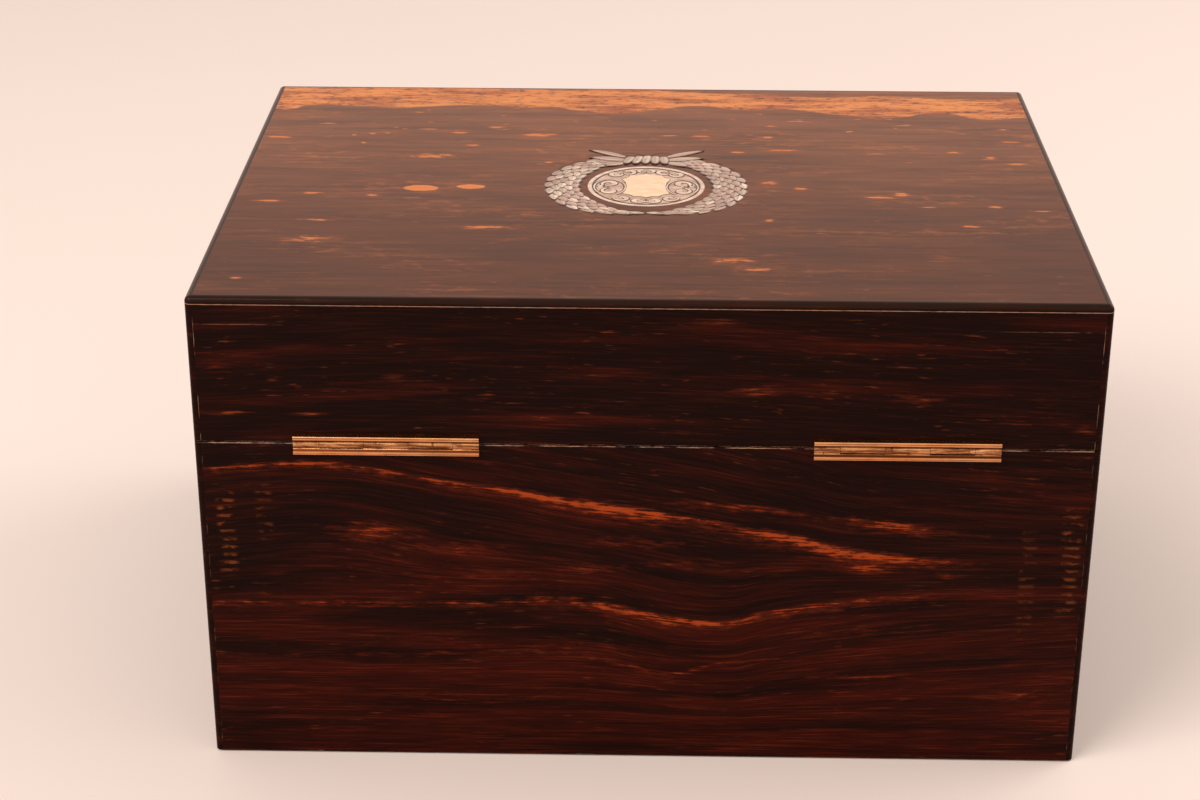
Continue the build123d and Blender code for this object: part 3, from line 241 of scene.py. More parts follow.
def surface(w, shader, colour, roughness, height, distance):
    """Feeds a shader its colour, its roughness and a relief of height times distance metres."""
    w.feed(shader["Base Color"], colour)
    w.feed(shader["Roughness"], roughness)
    w.feed(shader["Normal"], w.node("ShaderNodeBump", {"Height": height, "Distance": distance,
                                                       "Strength": 1.0}))


# %% [markdown]
# ## Floor and light
# A pale floor and soft light show a dark polished box best. The box's back is a mirror for the
# floor in front of it, and the lid's top for what stands far behind, so the world is a pale wall
# to glossy rays while it lights the box at a plain level. One large lamp gives the shadow.

# %% Make the floor, the world and the lamps
floor_mesh = bpy.data.meshes.new("floor")
floor_bm = bmesh.new()
bmesh.ops.create_circle(floor_bm, cap_ends=True, radius=6.0, segments=96)
floor_bm.to_mesh(floor_mesh)
floor_bm.free()
floor = new_object("floor", floor_mesh)
floor_paint, w, shader = material("floor_paint", Roughness=0.95, Specular_IOR_Level=0.1)
x, y, z = w.split(object_place(w))
pale = w.blend(w.noise(x * 2.0, y * 2.0, detail=3.0), (0.97, 0.80, 0.72), (1.0, 0.84, 0.76))
looked_at = w.node("ShaderNodeLightPath", {}, out="Is Camera Ray")
w.feed(shader["Base Color"], w.blend(looked_at, (0.78, 0.50, 0.43), pale))
floor.data.materials.append(floor_paint)

world = bpy.data.worlds.new("studio")
bpy.context.scene.world = world
world.use_nodes = True
w = Wires(world.node_tree)
seen = w.most(*[w.node("ShaderNodeLightPath", {}, out=ray)
                for ray in ("Is Camera Ray", "Is Glossy Ray", "Is Transmission Ray")])
background = next(node for node in world.node_tree.nodes if node.type == "BACKGROUND")
w.feed(background.inputs["Color"], w.blend(seen, (0.64, 0.61, 0.58), (1.0, 0.79, 0.69)))


def lamp(name, place, aim, size, energy, colour):
    """A square area lamp that faces a point."""
    made = new_object(name, bpy.data.lights.new(name, "AREA"))
    made.data.size = size
    made.data.energy = energy
    made.data.color = colour
    made.location = place
    made.rotation_mode = "QUATERNION"
    made.rotation_quaternion = (Vector(place) - Vector(aim)).to_track_quat("Z", "Y")


lamp("window_lamp", (0.9, 0.9, 1.5), (0, 0, 0.08), 1.0, 17.0, (1.0, 0.97, 0.93))
lamp("side_lamp", (-1.4, -0.5, 1.1), (0, 0, 0.08), 1.2, 10.0, (1.0, 0.96, 0.94))
bpy.context.scene.view_settings.view_transform = "Standard"
print("lamps and floor stand")

# %% [markdown]
# ## Coromandel
# The veneer is a striped ebony. Its figure has four scales: broad brown bands, narrow streaks,
# short orange flecks and fine fibres, all drawn out along the grain. A photograph of the wood
# would be the quick way; here stretched noises are thresholded one over another, so that the
# figure has no seams and no end. The group is built once and each veneer sets its own direction.

# %% Build the coromandel figure
figure, w, into, out = effect(
    "coromandel_figure",
    {"Along": 0.0, "Across": 0.0, "Seed": 0.0, "Brown": 0.5, "Flecks": 0.5},
    {"Colour": "Color", "Fibre": "Float"})
along, across = into["Along"] * 1000.0, into["Across"] * 1000.0


def drawn_out(length, width, seed, detail=2.0, roughness=0.5):
    """Noise whose blobs are so many millimetres along and across the grain."""
    return w.noise(along * (1 / length), across * (1 / width), into["Seed"] + seed, detail,
                   roughness)


bands = drawn_out(105, 7.5, 0.0, 5.0, 0.62)
streaks = drawn_out(46, 1.7, 3.1, 4.0, 0.6)
fibres = drawn_out(15, 0.35, 7.7, 2.0)
patches = drawn_out(40, 12, 11.3, 2.0)
flecks = drawn_out(8, 0.95, 17.9, 3.0)
threads = drawn_out(22, 0.62, 23.3, 3.0, 0.6)
brown = w.step(bands + (into["Brown"] - 0.5) * 0.4, 0.40, 0.72)
narrow = w.step(streaks, 0.52, 0.80) * (brown * 0.8 + 0.2)
fleck = w.step(flecks, 0.60, 0.78) * w.step(patches, 0.46, 0.62) * into["Flecks"]
thread = w.step(threads, 0.50, 0.74) * (brown * 0.62 + 0.12)
colour = w.blend(brown, (0.0085, 0.0020, 0.0013), (0.042, 0.0042, 0.0018))
colour = w.blend(narrow, colour, (0.090, 0.0120, 0.0036))
colour = w.blend(fleck, colour, (0.30, 0.062, 0.014))
colour = w.blend(thread, colour, (0.130, 0.0180, 0.0046))
shade = w.step(fibres, 0.25, 0.75, 0.62, 1.25)
w.feed(out["Colour"], w.blend(1.0, colour, w.join(shade, shade, shade), "MULTIPLY"))
w.feed(out["Fibre"], fibres)
print("figure nodes:", len(figure.nodes))

# %% [markdown]
# ## Glue lines and painted arris highlights
# Where the solid edging meets the veneer, old filler shows as a thin pale line that comes and
# goes. The same broken pale line at the seam and along the lid's top edge is a painted highlight
# on those arrises. A modelled gap would need a sliver of a solid; a mask on the distance to the
# line does it without one.

# %% Build the glue line and painted arris highlight
glue_and_highlight_line, w, into, out = effect(
    "glue_and_highlight_line", {"Distance": 0.0, "Run": 0.0, "Half width": 0.0002, "Share": 0.5, "Seed": 0.0},
    {"Mask": "Float"})
run = into["Run"] * 1000.0
gaps = w.noise(run * (1 / 14), into["Seed"], detail=3.0, roughness=0.7)
wander = (w.noise(run * (1 / 3), into["Seed"], 4.0) - 0.5) * 0.00025
near = w.step(abs(into["Distance"] + wander), into["Half width"] * 0.4, into["Half width"], 1.0,
              0.0)
w.feed(out["Mask"], near * w.step(gaps + into["Share"], 0.92, 1.08))
# Pale colour of the glue lines and of the painted highlights on the arrises
line_colour, line_half = (0.42, 0.24, 0.15), 0.00016


def glue_and_highlight_lines(w, *places):
    """The pale glue lines and painted arris highlights at (distance, run, share, seed) places, as
    one mask.
    """
    return w.most(*[w.group(glue_and_highlight_line, Distance=distance, Run=run, Half_width=line_half,
                            Share=share, Seed=seed)["Mask"]
                    for distance, run, share, seed in places])


# %% [markdown]
# ## The veneers
# Every veneer shares the figure, but the back panel and the lid's top show marks that are their
# own: two bright curved streaks with a V below them, a pale sapwood band along the lid's front,
# and two lens-shaped spots beside the wreath. They are drawn as curves and ellipses in
# millimetres and broken up with fibres, and the grain bends with the streaks.

# %% Draw streaks and spots
edge_half_x, edge_half_y = 0.150, 0.113
edge_top, seam = 0.1725, 0.1225
shelf, curve_top = 0.155, 0.130


def drawn_line(w, along, points):
    """The height in metres of a line through points in mm, at a place along it."""
    return w.curve(along, [(px * mm, py * mm / curve_top) for px, py in points],
                   -shelf, shelf) * curve_top


def streak(w, along, across, points, widths):
    """How near a place is to a curve through (x, z) points in mm, softer below than above.
    The widths are (x, mm, strength) and say how far and how strongly it shows there."""
    middle = drawn_line(w, along, points)
    width = w.curve(along, [(px * mm, wide / 10) for px, wide, share in widths], -shelf, shelf)
    strength = w.curve(along, [(px * mm, share) for px, wide, share in widths], -shelf, shelf)
    off = w.math("DIVIDE", across - middle, width * (10 * mm) + 0.00001)
    return (1.0 - w.most(off * 1.7, off * -0.75)) * strength


def spot(w, place, x, y, half_length, half_width, amount=1.0):
    """How near a place is to the middle of an ellipse in mm: amount in the middle, 0 outside."""
    scale = (1 / (half_length * mm), 1 / (half_width * mm), 0.0)
    shift = (-x / half_length, -y / half_width, 0.0)
    moved = w.node("ShaderNodeVectorMath", {0: place, 1: scale, 2: shift},
                   operation="MULTIPLY_ADD")
    far = w.node("ShaderNodeVectorMath", {0: moved}, out="Value", operation="LENGTH")
    return w.node("ShaderNodeMath", {0: far, 1: -amount, 2: amount}, operation="MULTIPLY_ADD")


def feather(w, nearness, along, across, length, width, seed):
    """Breaks soft marks up into fibres: whole in their middle, single strands at the rim."""
    long_fibres = w.stretched(along, across, length, width, seed, 4.0, 0.6)
    short_fibres = w.stretched(along, across, length / 3, width * 2, seed + 5.0, 3.0, 0.6)
    strands = long_fibres * 0.75 + short_fibres * 0.65
    return w.step(strands + nearness * 0.44, 0.82, 1.20) * w.step(nearness, 0.0, 0.25)


def polish(w, shader, colour, fibre):
    """French polish: a little uneven, with the open grain just showing."""
    film = w.spread(w.split(object_place(w)), 22.0)
    surface(w, shader, colour, w.step(film, 0.3, 0.7, 0.07, 0.12), film * 6.0 + fibre, 0.000004)


gloss = {"IOR": 1.36, "Specular_IOR_Level": 0.14}

# %% Finish the case's back panel
case_back, w, shader = material("coromandel_case_back", **gloss)
x, y, z = w.split(object_place(w))
main_streak = [(152, 112.2), (148.2, 112.7), (100.7, 114.4), (85.2, 111.6), (66.3, 108.1),
               (47.1, 105.3), (27.8, 101.7), (1.9, 97.8), (-17.8, 94.7), (-33.9, 91.0),
               (-55.1, 87.1), (-66.2, 83.7), (-109.0, 79.7), (-152, 77.0)]
low_streak = [(152, 60.9), (67.4, 61.6), (15.5, 61.5), (1.6, 58.6), (-13.0, 55.6), (-31.7, 55.4),
              (-37.9, 57.5), (-50.9, 60.5), (-72.2, 63.9), (-98.8, 67.0), (-152, 71.0)]
high_streak = [(152, 107), (30, 103), (-20, 101.5), (-34.7, 100.2), (-60, 97.0), (-97.4, 92.2),
               (-152, 86)]
deep_streak = [(152, 40), (60, 42), (30, 43), (8.4, 38.8), (-8.1, 34.2), (-26.5, 38.9),
               (-60, 41), (-152, 43)]
streak_table = [
    (main_streak, [(152, 3.0, 0.70), (118, 3.2, 0.90), (85, 3.6, 0.80), (60, 3.8, 0.85),
                   (28, 5.0, 1.1), (0, 6.0, 1.05), (-20, 5.6, 0.8), (-45, 6.0, 1.0),
                   (-66, 6.0, 1.1), (-95, 5.0, 0.85), (-125, 3.0, 0.2), (-152, 2.0, 0.0)]),
    (high_streak, [(152, 3.0, 0.0), (60, 3.0, 0.15), (0, 3.0, 0.42), (-34, 3.4, 0.78),
                   (-60, 3.4, 0.6), (-82, 5.0, 0.92), (-102, 4.0, 0.55), (-125, 3.0, 0.25),
                   (-152, 2.0, 0.0)]),
    (low_streak, [(152, 2.6, 0.85), (110, 2.4, 0.70), (67, 2.4, 0.82), (40, 2.6, 0.70),
                  (12, 4.4, 1.0), (-10, 4.8, 1.0), (-32, 3.8, 0.9), (-60, 4.4, 0.85),
                  (-90, 3.6, 0.7), (-110, 2.4, 0.45), (-152, 2.0, 0.35)]),
    (deep_streak, [(152, 2.0, 0.3), (60, 2.4, 0.5), (20, 2.6, 0.62), (-8, 2.6, 0.75),
                   (-30, 2.4, 0.62), (-80, 2.0, 0.25), (-152, 2.0, 0.15)])]
back_spots = [
    (-76, 77.3, 20, 4.6, 1.0), (-104, 74.5, 9, 2.4, 0.9), (92, 89.0, 30, 7.0, 0.85),
    (66, 83.0, 34, 4.5, 0.75), (52, 73.0, 34, 4.0, 0.62), (18, 76.0, 30, 4.0, 0.7),
    (34, 63.0, 24, 4.2, 0.9), (4, 86.0, 34, 4.0, 0.7), (-12, 78.0, 26, 3.5, 0.65),
    (-70, 52.0, 40, 3.0, 0.50), (30, 45.0, 60, 3.0, 0.50), (-78, 34.0, 42, 3.4, 0.60),
    (-132, 27.0, 20, 6.0, 0.70), (60, 24.0, 70, 5.0, 0.40)]
share = w.step(z, 0.058, 0.100)
rise = ((drawn_line(w, x, main_streak) - 0.098) * share
        + (drawn_line(w, x, low_streak) - 0.061) * ((1.0 - share) * w.step(z, 0.0, 0.055)))
grain = w.group(figure, Along=x, Across=z - rise, Seed=2.0,
                Brown=w.step(z, 0.02, 0.115, 0.72, 0.40), Flecks=0.35)
place = w.join(x, z)
nearness = w.most(*[streak(w, x, z, *row) for row in streak_table],
                  *[spot(w, place, *row) for row in back_spots])
streaks = feather(w, nearness, x, z - rise * 0.55, 17.0, 0.75, 1.0)


def dovetail_column(w, x, z, middle, half, strength, centre, reach):
    """A column of short marks at x = middle, fading away from the height centre."""
    return (w.step(abs(x - middle), half * 0.4, half, strength, 0.0)
            * w.step(abs(z - centre), reach * 0.55, reach, 1.0, 0.0))


patchy = w.stretched(x, z, 6.0, 4.2, 8.0, 3.0, 0.6)
rungs = w.math("SINE", z * 2100.0 + patchy * 7.0)
rungs = w.step(rungs, -0.1, 0.9) * w.step(patchy, 0.40, 0.62)
columns = rungs * w.most(*[dovetail_column(w, x, z, *row) for row in (
    (0.1432, 0.0040, 1.0, 0.088, 0.019), (0.1300, 0.0036, 0.45, 0.096, 0.014),
    (-0.1450, 0.0044, 0.75, 0.080, 0.026), (-0.1310, 0.0036, 0.4, 0.072, 0.026))])
colour = w.blend(streaks * 0.85, grain["Colour"], (0.135, 0.0170, 0.0045))
core = w.step(streaks, 0.60, 1.0) * w.step(nearness, 0.30, 0.95, 0.0, 0.72)
colour = w.blend(core, colour, (0.50, 0.078, 0.0120))
colour = w.blend(columns, colour, (0.175, 0.045, 0.0105))
# Pale lines: a glue line by each corner's edging, a painted highlight on the arris just below the
# seam, and one line 0.8 mm above the foot
lines = glue_and_highlight_lines(w, (abs(x) - edge_half_x, z, 0.42, 1.0), (z - (seam - 0.0003), x, 0.50, 2.0),
                    (z - 0.0008, x, 0.36, 3.0))
polish(w, shader, w.blend(lines, colour, line_colour), grain["Fibre"])
print("case back nodes:", len(case_back.node_tree.nodes))

# %% [markdown]
# ## The lid's back
# Above the seam the wood is darker and its marks are shorter, because the lid was sawn off the
# finished box. One row of numbers for each mark keeps them easy to move.

# %% Finish the lid's back
lid_back, w, shader = material("coromandel_lid_back", **gloss)
x, y, z = w.split(object_place(w))
slope = w.curve(x, [(-shelf, 0.36), (-0.08, 0.45), (0.0, 0.56), (0.08, 0.60), (shelf, 0.52)],
                -shelf, shelf)
grain = w.group(figure, Along=x, Across=z - slope * 0.030, Seed=31.0, Brown=0.33, Flecks=0.5)
place = w.join(x, z)
lid_back_spots = [
    (140, 133.4, 15, 1.8, 0.95), (112, 133.2, 12, 1.6, 0.8), (84, 146.5, 9, 3.4, 0.75),
    (60, 139.0, 14, 2.0, 0.5), (36, 132.9, 17, 1.7, 0.85), (18, 148.5, 24, 3.2, 0.5),
    (10, 139.5, 22, 2.2, 0.55), (-38, 143.2, 17, 4.2, 0.9), (-50, 138.0, 20, 2.0, 0.5),
    (-90, 141.0, 14, 3.8, 0.8), (-22, 168.0, 14, 2.2, 0.85), (-146, 130.5, 8, 4.4, 0.75),
    (-132, 141.0, 10, 5.0, 0.5), (-120, 132.5, 18, 2.2, 0.5), (143, 150.5, 8, 4.0, 0.6),
    (100, 157.5, 60, 1.6, 0.42), (-60, 156.0, 60, 2.0, 0.38), (-10, 127.5, 30, 1.8, 0.6)]
nearness = w.most(*[spot(w, place, *row) for row in lid_back_spots])
marks = feather(w, nearness, x, z, 22.0, 0.62, 9.0)
colour = w.blend(marks * 0.85, grain["Colour"], (0.105, 0.0160, 0.0045))
core = w.step(marks, 0.55, 1.0) * w.step(nearness, 0.30, 0.80, 0.0, 0.75)
colour = w.blend(core, colour, (0.30, 0.062, 0.0140))
near_ends = w.step(abs(x), 0.108, 0.135)
board_edge = glue_and_highlight_lines(w, (z - 0.1655, x, 0.52, 7.0)) * near_ends
colour = w.blend(board_edge * 0.35, colour, line_colour)
# Pale lines: glue lines by the corner edging, painted highlights on the arrises just above the seam
# and along the top edge
lines = glue_and_highlight_lines(w, (abs(x) - edge_half_x, z, 0.44, 4.0), (z - (seam + 0.0003), x, 0.52, 5.0),
                    (z - edge_top, x, 0.62, 6.0))
polish(w, shader, w.blend(lines, colour, line_colour), grain["Fibre"])
print("lid back nodes:", len(lid_back.node_tree.nodes))

# %% [markdown]
# ## The lid's top
# The photograph shows this panel best, so it is built in layers: a warm ground, dark streaks,
# scattered flecks at the photograph's main places, two bright lenses, and along the front a band
# of sapwood. The band's two edges are drawn lines with a ripple; the far one leaves a dark strip.

# %% Lay the ground and the flecks of the lid's top
lid_top, w, shader = material("coromandel_lid_top", IOR=1.36, Specular_IOR_Level=0.17)
x, y, z = w.split(object_place(w))
grain = w.group(figure, Along=x, Across=y, Seed=57.0, Brown=0.78, Flecks=0.25)
warm = w.stretched(x, y, 60, 11, 3.0, 5.0, 0.62)
far = w.step(y, -0.09, 0.09, 1.0, 0.0)
tan = w.blend(far, (0.105, 0.026, 0.0080), (0.235, 0.070, 0.0250))
colour = w.blend(w.step(warm, 0.28, 0.72, 0.50, 0.95), grain["Colour"], tan)
dark = w.stretched(x, y, 75, 4.5, 8.0, 5.0, 0.62)
colour = w.blend(w.step(dark, 0.46, 0.76, 0.0, 0.62), colour, (0.030, 0.0095, 0.0045))
top_flecks = [
    (144, -49, 5.5, 2.2, 0.9), (127, -66, 4.5, 1.2, 0.6), (92, -81, 4.9, 1.4, 0.6),
    (115, -52, 1.5, 1.1, 0.7), (108, -54, 1.6, 1.3, 0.8), (102, -55, 1.3, 1.1, 0.6),
    (110, -43, 1.2, 1.4, 0.8), (86, -60, 5.1, 1.3, 0.5), (74, -56, 3.6, 1.5, 0.9),
    (60, -63, 3.3, 2.0, 0.8), (43, -54, 7.7, 2.5, 1.0), (68, -41, 3.2, 2.4, 0.6),
    (83, -28, 12, 3.8, 0.6), (38, -22, 2.2, 1.6, 0.7), (123, 14, 4.5, 1.7, 0.5),
    (138, 23, 5.5, 2.0, 0.6), (100, 16, 3.6, 1.7, 0.6), (118, 42, 7.6, 1.6, 0.6),
    (57, 48, 13, 2.6, 0.5), (118, 61, 12, 4.4, 0.35), (138, 98, 3.0, 1.2, 0.7),
    (-8, -54, 3.9, 1.5, 0.6), (-20, -54, 4.2, 1.7, 0.7), (-46, -53, 2.1, 1.8, 0.9),
    (-78, -61, 2.4, 1.4, 0.6), (-34, -35, 3.2, 1.5, 0.9), (-50, -38, 7.6, 1.9, 0.7),
    (-117, -37, 4.7, 2.1, 0.7), (-129, -31, 2.6, 2.6, 0.9), (-139, -50, 5.0, 1.9, 0.7),
    (-139, -24, 6.2, 1.8, 0.7), (-86, -35, 5.6, 1.7, 0.4), (-44, -1, 5.0, 3.6, 0.5),
    (-56, 5, 4.0, 2.0, 0.5), (-84, 14, 7.5, 1.9, 0.8), (-92, 11, 3.6, 2.8, 1.0),
    (-101, 24, 3.0, 1.8, 0.6), (-125, 23, 3.2, 1.7, 0.7), (-141, 27, 4.3, 1.4, 0.6),
    (-114, 43, 4.6, 1.5, 0.7), (-43, 39, 2.6, 2.4, 0.5), (-28, 78, 11, 3.4, 0.5),
    (-38, 86, 8.2, 3.0, 0.4)]
place = w.join(x, y)
stray = w.step(w.stretched(x, y, 13, 3.4, 14.0, 3.0, 0.6), 0.54, 0.74)
nearness = w.most(*[spot(w, place, px, py, half * 1.8, wide * 1.6, 0.75 + 0.6 * amount)
                    for px, py, half, wide, amount in top_flecks],
                  stray * w.step(y, -0.085, 0.02, 1.0, 0.55))
marks = feather(w, nearness, x, y, 13.0, 1.1, 20.0)
bright = w.most(spot(w, place, -91, 16, 34, 12, 1.6), 0.0)
clusters = w.stretched(x, y, 55, 20, 31.0, 2.0) + bright * 0.16
drawn = w.step(w.stretched(x, y, 32, 2.1, 17.0, 4.0, 0.62), 0.46, 0.68)
drawn = drawn * w.step(y, -0.10, 0.09, 1.0, 0.35) * w.step(clusters, 0.40, 0.62, 0.20, 1.0)
colour = w.blend(drawn * 0.72, colour, (0.33, 0.085, 0.0170))
mottle = w.stretched(x, y, 9.5, 3.4, 41.0, 4.0, 0.66)
mottle = w.step(mottle, 0.50, 0.70, 0.0, 0.85) * w.step(clusters, 0.46, 0.66)
colour = w.blend(mottle * w.step(y, -0.10, 0.10, 1.0, 0.45), colour, (0.42, 0.105, 0.0190))
colour = w.blend(marks * 0.8, colour, (0.28, 0.062, 0.0120))
core = w.step(marks, 0.5, 1.0) * w.step(nearness, 0.35, 0.85, 0.0, 0.9)
colour = w.blend(core, colour, (0.66, 0.170, 0.0300))
rough_edge = w.stretched(x, y, 2.5, 1.2, 9.0, 2.0)
lenses = w.most(spot(w, place, 83.6, 7.9, 7.0, 3.4), spot(w, place, 65.4, 6.0, 5.6, 2.6))
lenses = w.step(lenses + (rough_edge - 0.5) * 0.35, 0.0, 0.16)
colour = w.blend(lenses, colour, (0.68, 0.185, 0.036))

# %% Lay the sapwood band of the lid's top
inner_edge = [(152, 84), (147, 83), (134, 89.5), (117, 88), (100, 87), (83, 89.5), (66, 91),
              (50, 88.5), (38, 88.5), (28, 84.5), (12, 82.5), (-6, 88), (-20, 92), (-37, 87.5),
              (-55, 88), (-72, 83), (-94, 78), (-116, 85.5), (-132, 77.5), (-147.5, 79.5),
              (-152, 80)]
outer_edge = [(152, 124), (12, 122), (0, 114), (-20.5, 110), (-56, 106.5), (-73, 104.5),
              (-96.6, 107), (-125.7, 101.5), (-150.8, 104.5), (-152, 104.5)]
forward = y * -1.0
ripple = w.stretched(x, y, 22, 3.0, 5.0, 5.0, 0.65) - 0.5
sap = w.step(forward - drawn_line(w, x, inner_edge) + ripple * 0.007, -0.0008, 0.0010)
bark = forward - drawn_line(w, x, outer_edge) + ripple * 0.010
sap = sap * w.step(bark, -0.0012, 0.0012, 1.0, 0.12)
freckles = w.stretched(x, y, 4.2, 2.2, 6.0, 4.0, 0.65)
sap_tone = w.stretched(x, y, 34, 6.5, 7.0, 5.0, 0.62)
sap_colour = w.blend(w.step(sap_tone, 0.36, 0.60), (0.40, 0.082, 0.0130), (0.80, 0.245, 0.0500))
speckled = w.step(freckles, 0.50, 0.64) * w.step(sap_tone, 0.34, 0.66, 1.0, 0.3)
sap_colour = w.blend(speckled, sap_colour, (0.075, 0.016, 0.006))
colour = w.blend(sap * 0.94, colour, sap_colour)
polish(w, shader, colour, grain["Fibre"])
print("lid top nodes:", len(lid_top.node_tree.nodes))

# %% [markdown]
# ## The front, the ends and the edging
# No photograph shows these sides, so they have the shared figure alone. On the ends the grain
# runs from front to back. The edging is solid ebony, a little rubbed in random spots; along the
# lid's top it is painted lighter, a painted highlight on its rounded edge.


# %% Finish the front, the ends and the edging
def plain_veneer(name, seed, ends=False):
    """Coromandel with its grain along the box, or from front to back on the ends."""
    made, w, shader = material(name, **gloss)
    x, y, z = w.split(object_place(w))
    run, half = (y, edge_half_y) if ends else (x, edge_half_x)
    grain = w.group(figure, Along=run, Across=z, Seed=x * 30.0 + seed if ends else seed,
                    Brown=0.50, Flecks=0.6)
    # Pale lines: glue lines by the edging, painted highlights on the arrises on both sides of the
    # seam and along the top edge
    lines = glue_and_highlight_lines(w, (abs(run) - half, z, 0.42, seed),
                        (abs(z - seam) - 0.0003, run, 0.36, seed + 1),
                        (z - edge_top, run, 0.50, seed + 2))
    polish(w, shader, w.blend(lines, grain["Colour"], line_colour), grain["Fibre"])
    return made


front_veneer = plain_veneer("coromandel_front", 75.0)
end_veneer = plain_veneer("coromandel_ends", 83.0, ends=True)

edging, w, shader = material("ebony_edging_polish", **gloss)
x, y, z = w.split(object_place(w))
grain = w.group(figure, Along=x + y, Across=z + y * 0.3, Seed=96.0, Brown=0.30, Flecks=0.12)
# Pale lines on the edging at the lid's top edge and at the seam are painted highlights on its
# arrises
lines = glue_and_highlight_lines(w, (z - edge_top, x + y, 0.60, 6.0),
                    (abs(z - seam) - 0.0003, x + y, 0.46, 8.0))
worn = w.spread((x, y, z), 120.0, 4.0, 0.7)
# Random rubbed spots, plus a painted highlight: the edging above the lid's top face is painted
# lighter
rubbed_spots_and_edge_highlight = w.step(worn, 0.62, 0.74) * 0.25 + w.step(z, edge_top, edge_top + 0.0015) * 0.14
colour = w.blend(rubbed_spots_and_edge_highlight, grain["Colour"], (0.10, 0.045, 0.025))
polish(w, shader, w.blend(lines, colour, line_colour), grain["Fibre"])


def dress(paint, slot, *names):
    """Gives CAD nodes a material. The slot argument is not used."""
    for name in names:
        mesh = nodes[name].data
        mesh.materials.clear()
        mesh.materials.append(paint)


dress(case_back, "coromandel_veneer", "case_back_veneer")
dress(lid_back, "coromandel_veneer", "lid_back_veneer")
dress(lid_top, "coromandel_veneer", "lid_top_veneer")
dress(front_veneer, "coromandel_veneer", "case_front_veneer", "drawer_veneer")
dress(end_veneer, "coromandel_veneer", "case_end_veneers", "lid_side_veneers")
dress(edging, "ebony_edging", "case_corner_edging", "lid_edging")
print("veneered parts dressed")

# %% [markdown]
# ## Carcass, metal and mirror
# Mahogany takes the same kind of stretched noise as the veneer, with pores. Brass and silver are
# never one colour: lacquer wears off the high places and tarnish stays in the grooves, so their
# colour and roughness follow a noise and the pointiness of the form is left to the light.

# %% Build wood, metal and mirror
mahogany, w, shader = material("carcass_mahogany_wax", IOR=1.46, Specular_IOR_Level=0.35)
x, y, z = w.split(object_place(w))
lay = z + y * 0.7 + w.spread((x, y, z), 9.0) * 0.01
ribbon = w.noise((x + y) * 9.0, lay * 300.0, 1.0, 4.0)
pore = w.step(w.noise((x + y) * 160.0, lay * 2600.0, 2.0, 2.0), 0.60, 0.72)
colour = w.blend(w.step(ribbon, 0.3, 0.7), (0.155, 0.050, 0.018), (0.30, 0.115, 0.042))
colour = w.blend(pore * 0.7, colour, (0.060, 0.018, 0.008))
surface(w, shader, colour, w.step(ribbon, 0.2, 0.8, 0.38, 0.52), 1.0 - pore, 0.00004)

worn_metal, w, into, out = effect(
    "worn_metal", {"Place": None, "Tarnish": 0.4, "Polish": 0.18, "Seed": 0.0},
    {"Tarnish": "Float", "Roughness": "Float", "Height": "Float"})
px, py, pz = w.split(into["Place"])
clouds = w.noise(px * 90.0, py * 90.0, pz * 90.0 + into["Seed"], 4.0, 0.6)
scratches = w.spread((px, py, pz), (260.0, 5200.0, 5200.0), 3.0, 0.7)
specks = w.spread((px, py, pz), 900.0, 3.0)
dulled = w.step(clouds, 0.38, 0.68) * 0.7 + w.step(specks, 0.60, 0.70) * 0.3
w.feed(out["Tarnish"], dulled * into["Tarnish"])
w.feed(out["Roughness"], into["Polish"] + clouds * 0.10 + w.step(scratches, 0.5, 0.75) * 0.12)
w.feed(out["Height"], scratches * 0.5 + clouds * 0.5)


def metal(name, bright, dull, tarnish, polish_level, seed):
    made, w, shader = material(name, Metallic=1.0)
    wear = w.group(worn_metal, Place=object_place(w), Tarnish=tarnish, Polish=polish_level,
                   Seed=seed)
    surface(w, shader, w.blend(wear["Tarnish"], bright, dull), wear["Roughness"], wear["Height"],
            0.00001)
    return made


silver_bright, silver_dull = (0.86, 0.85, 0.81), (0.34, 0.28, 0.21)
brass = metal("polished_brass_lacquer", (0.86, 0.53, 0.21), (0.48, 0.22, 0.065), 0.45, 0.14, 1.0)
silver = metal("silver_plate_polish", silver_bright, silver_dull, 0.28, 0.10, 2.0)
steel = metal("spring_steel_blued", (0.42, 0.43, 0.46), (0.09, 0.08, 0.09), 0.6, 0.26, 3.0)

mirror, w, shader = material("silvered_mirror_glass", Metallic=1.0)
x, y, z = w.split(object_place(w))
foxing = w.noise(x * 70.0, y * 70.0, 0.0, 5.0, 0.7)
edges = w.most(w.step(abs(x), 0.085, 0.103), w.step(abs(y), 0.050, 0.066))
old = w.step(foxing, 0.56, 0.72) * edges
w.feed(shader["Base Color"], w.blend(old, (0.90, 0.91, 0.91), (0.34, 0.31, 0.27)))
w.feed(shader["Roughness"], w.step(old, 0.0, 1.0, 0.02, 0.45))

# %% [markdown]
# ## The hinges' brass
# Dark lines beside the barrel, in the groove of each leaf and in the joints between the knuckles
# are painted shade of those creases and gaps, with some old polish and dirt, and the barrel is
# darkened in patches. So the hinges have a brass of their own that follows the height above the
# seam.

# %% Build the hinge brass
barrel_radius, barrel_side, groove_height = 0.0018, 0.00170, 0.00275
hinge_brass, w, shader = material("hinge_brass_tarnished", Metallic=1.0)
x, y, z = w.split(object_place(w))
wear = w.group(worn_metal, Place=object_place(w), Tarnish=0.6, Polish=0.16, Seed=5.0)
height = abs(z - seam)
smear = w.stretched(x, z, 11, 1.1, 2.0, 4.0, 0.65)
barrel = w.step(height, 0.0014, barrel_radius, 1.0, 0.0)
groove = w.step(abs(height - groove_height), 0.00008, 0.0003, 0.7, 0.0)
# Thin dark lines at the knuckle joints, painted shade of the gaps between them
breaks = w.noise(x * (1 / 0.0032), w.step(z, seam - 0.0001, seam + 0.0001), 6.0, 2.0)
breaks = w.step(breaks, 0.60, 0.66) * w.step(height, 0.0016, 0.0022, 1.0, 0.0)
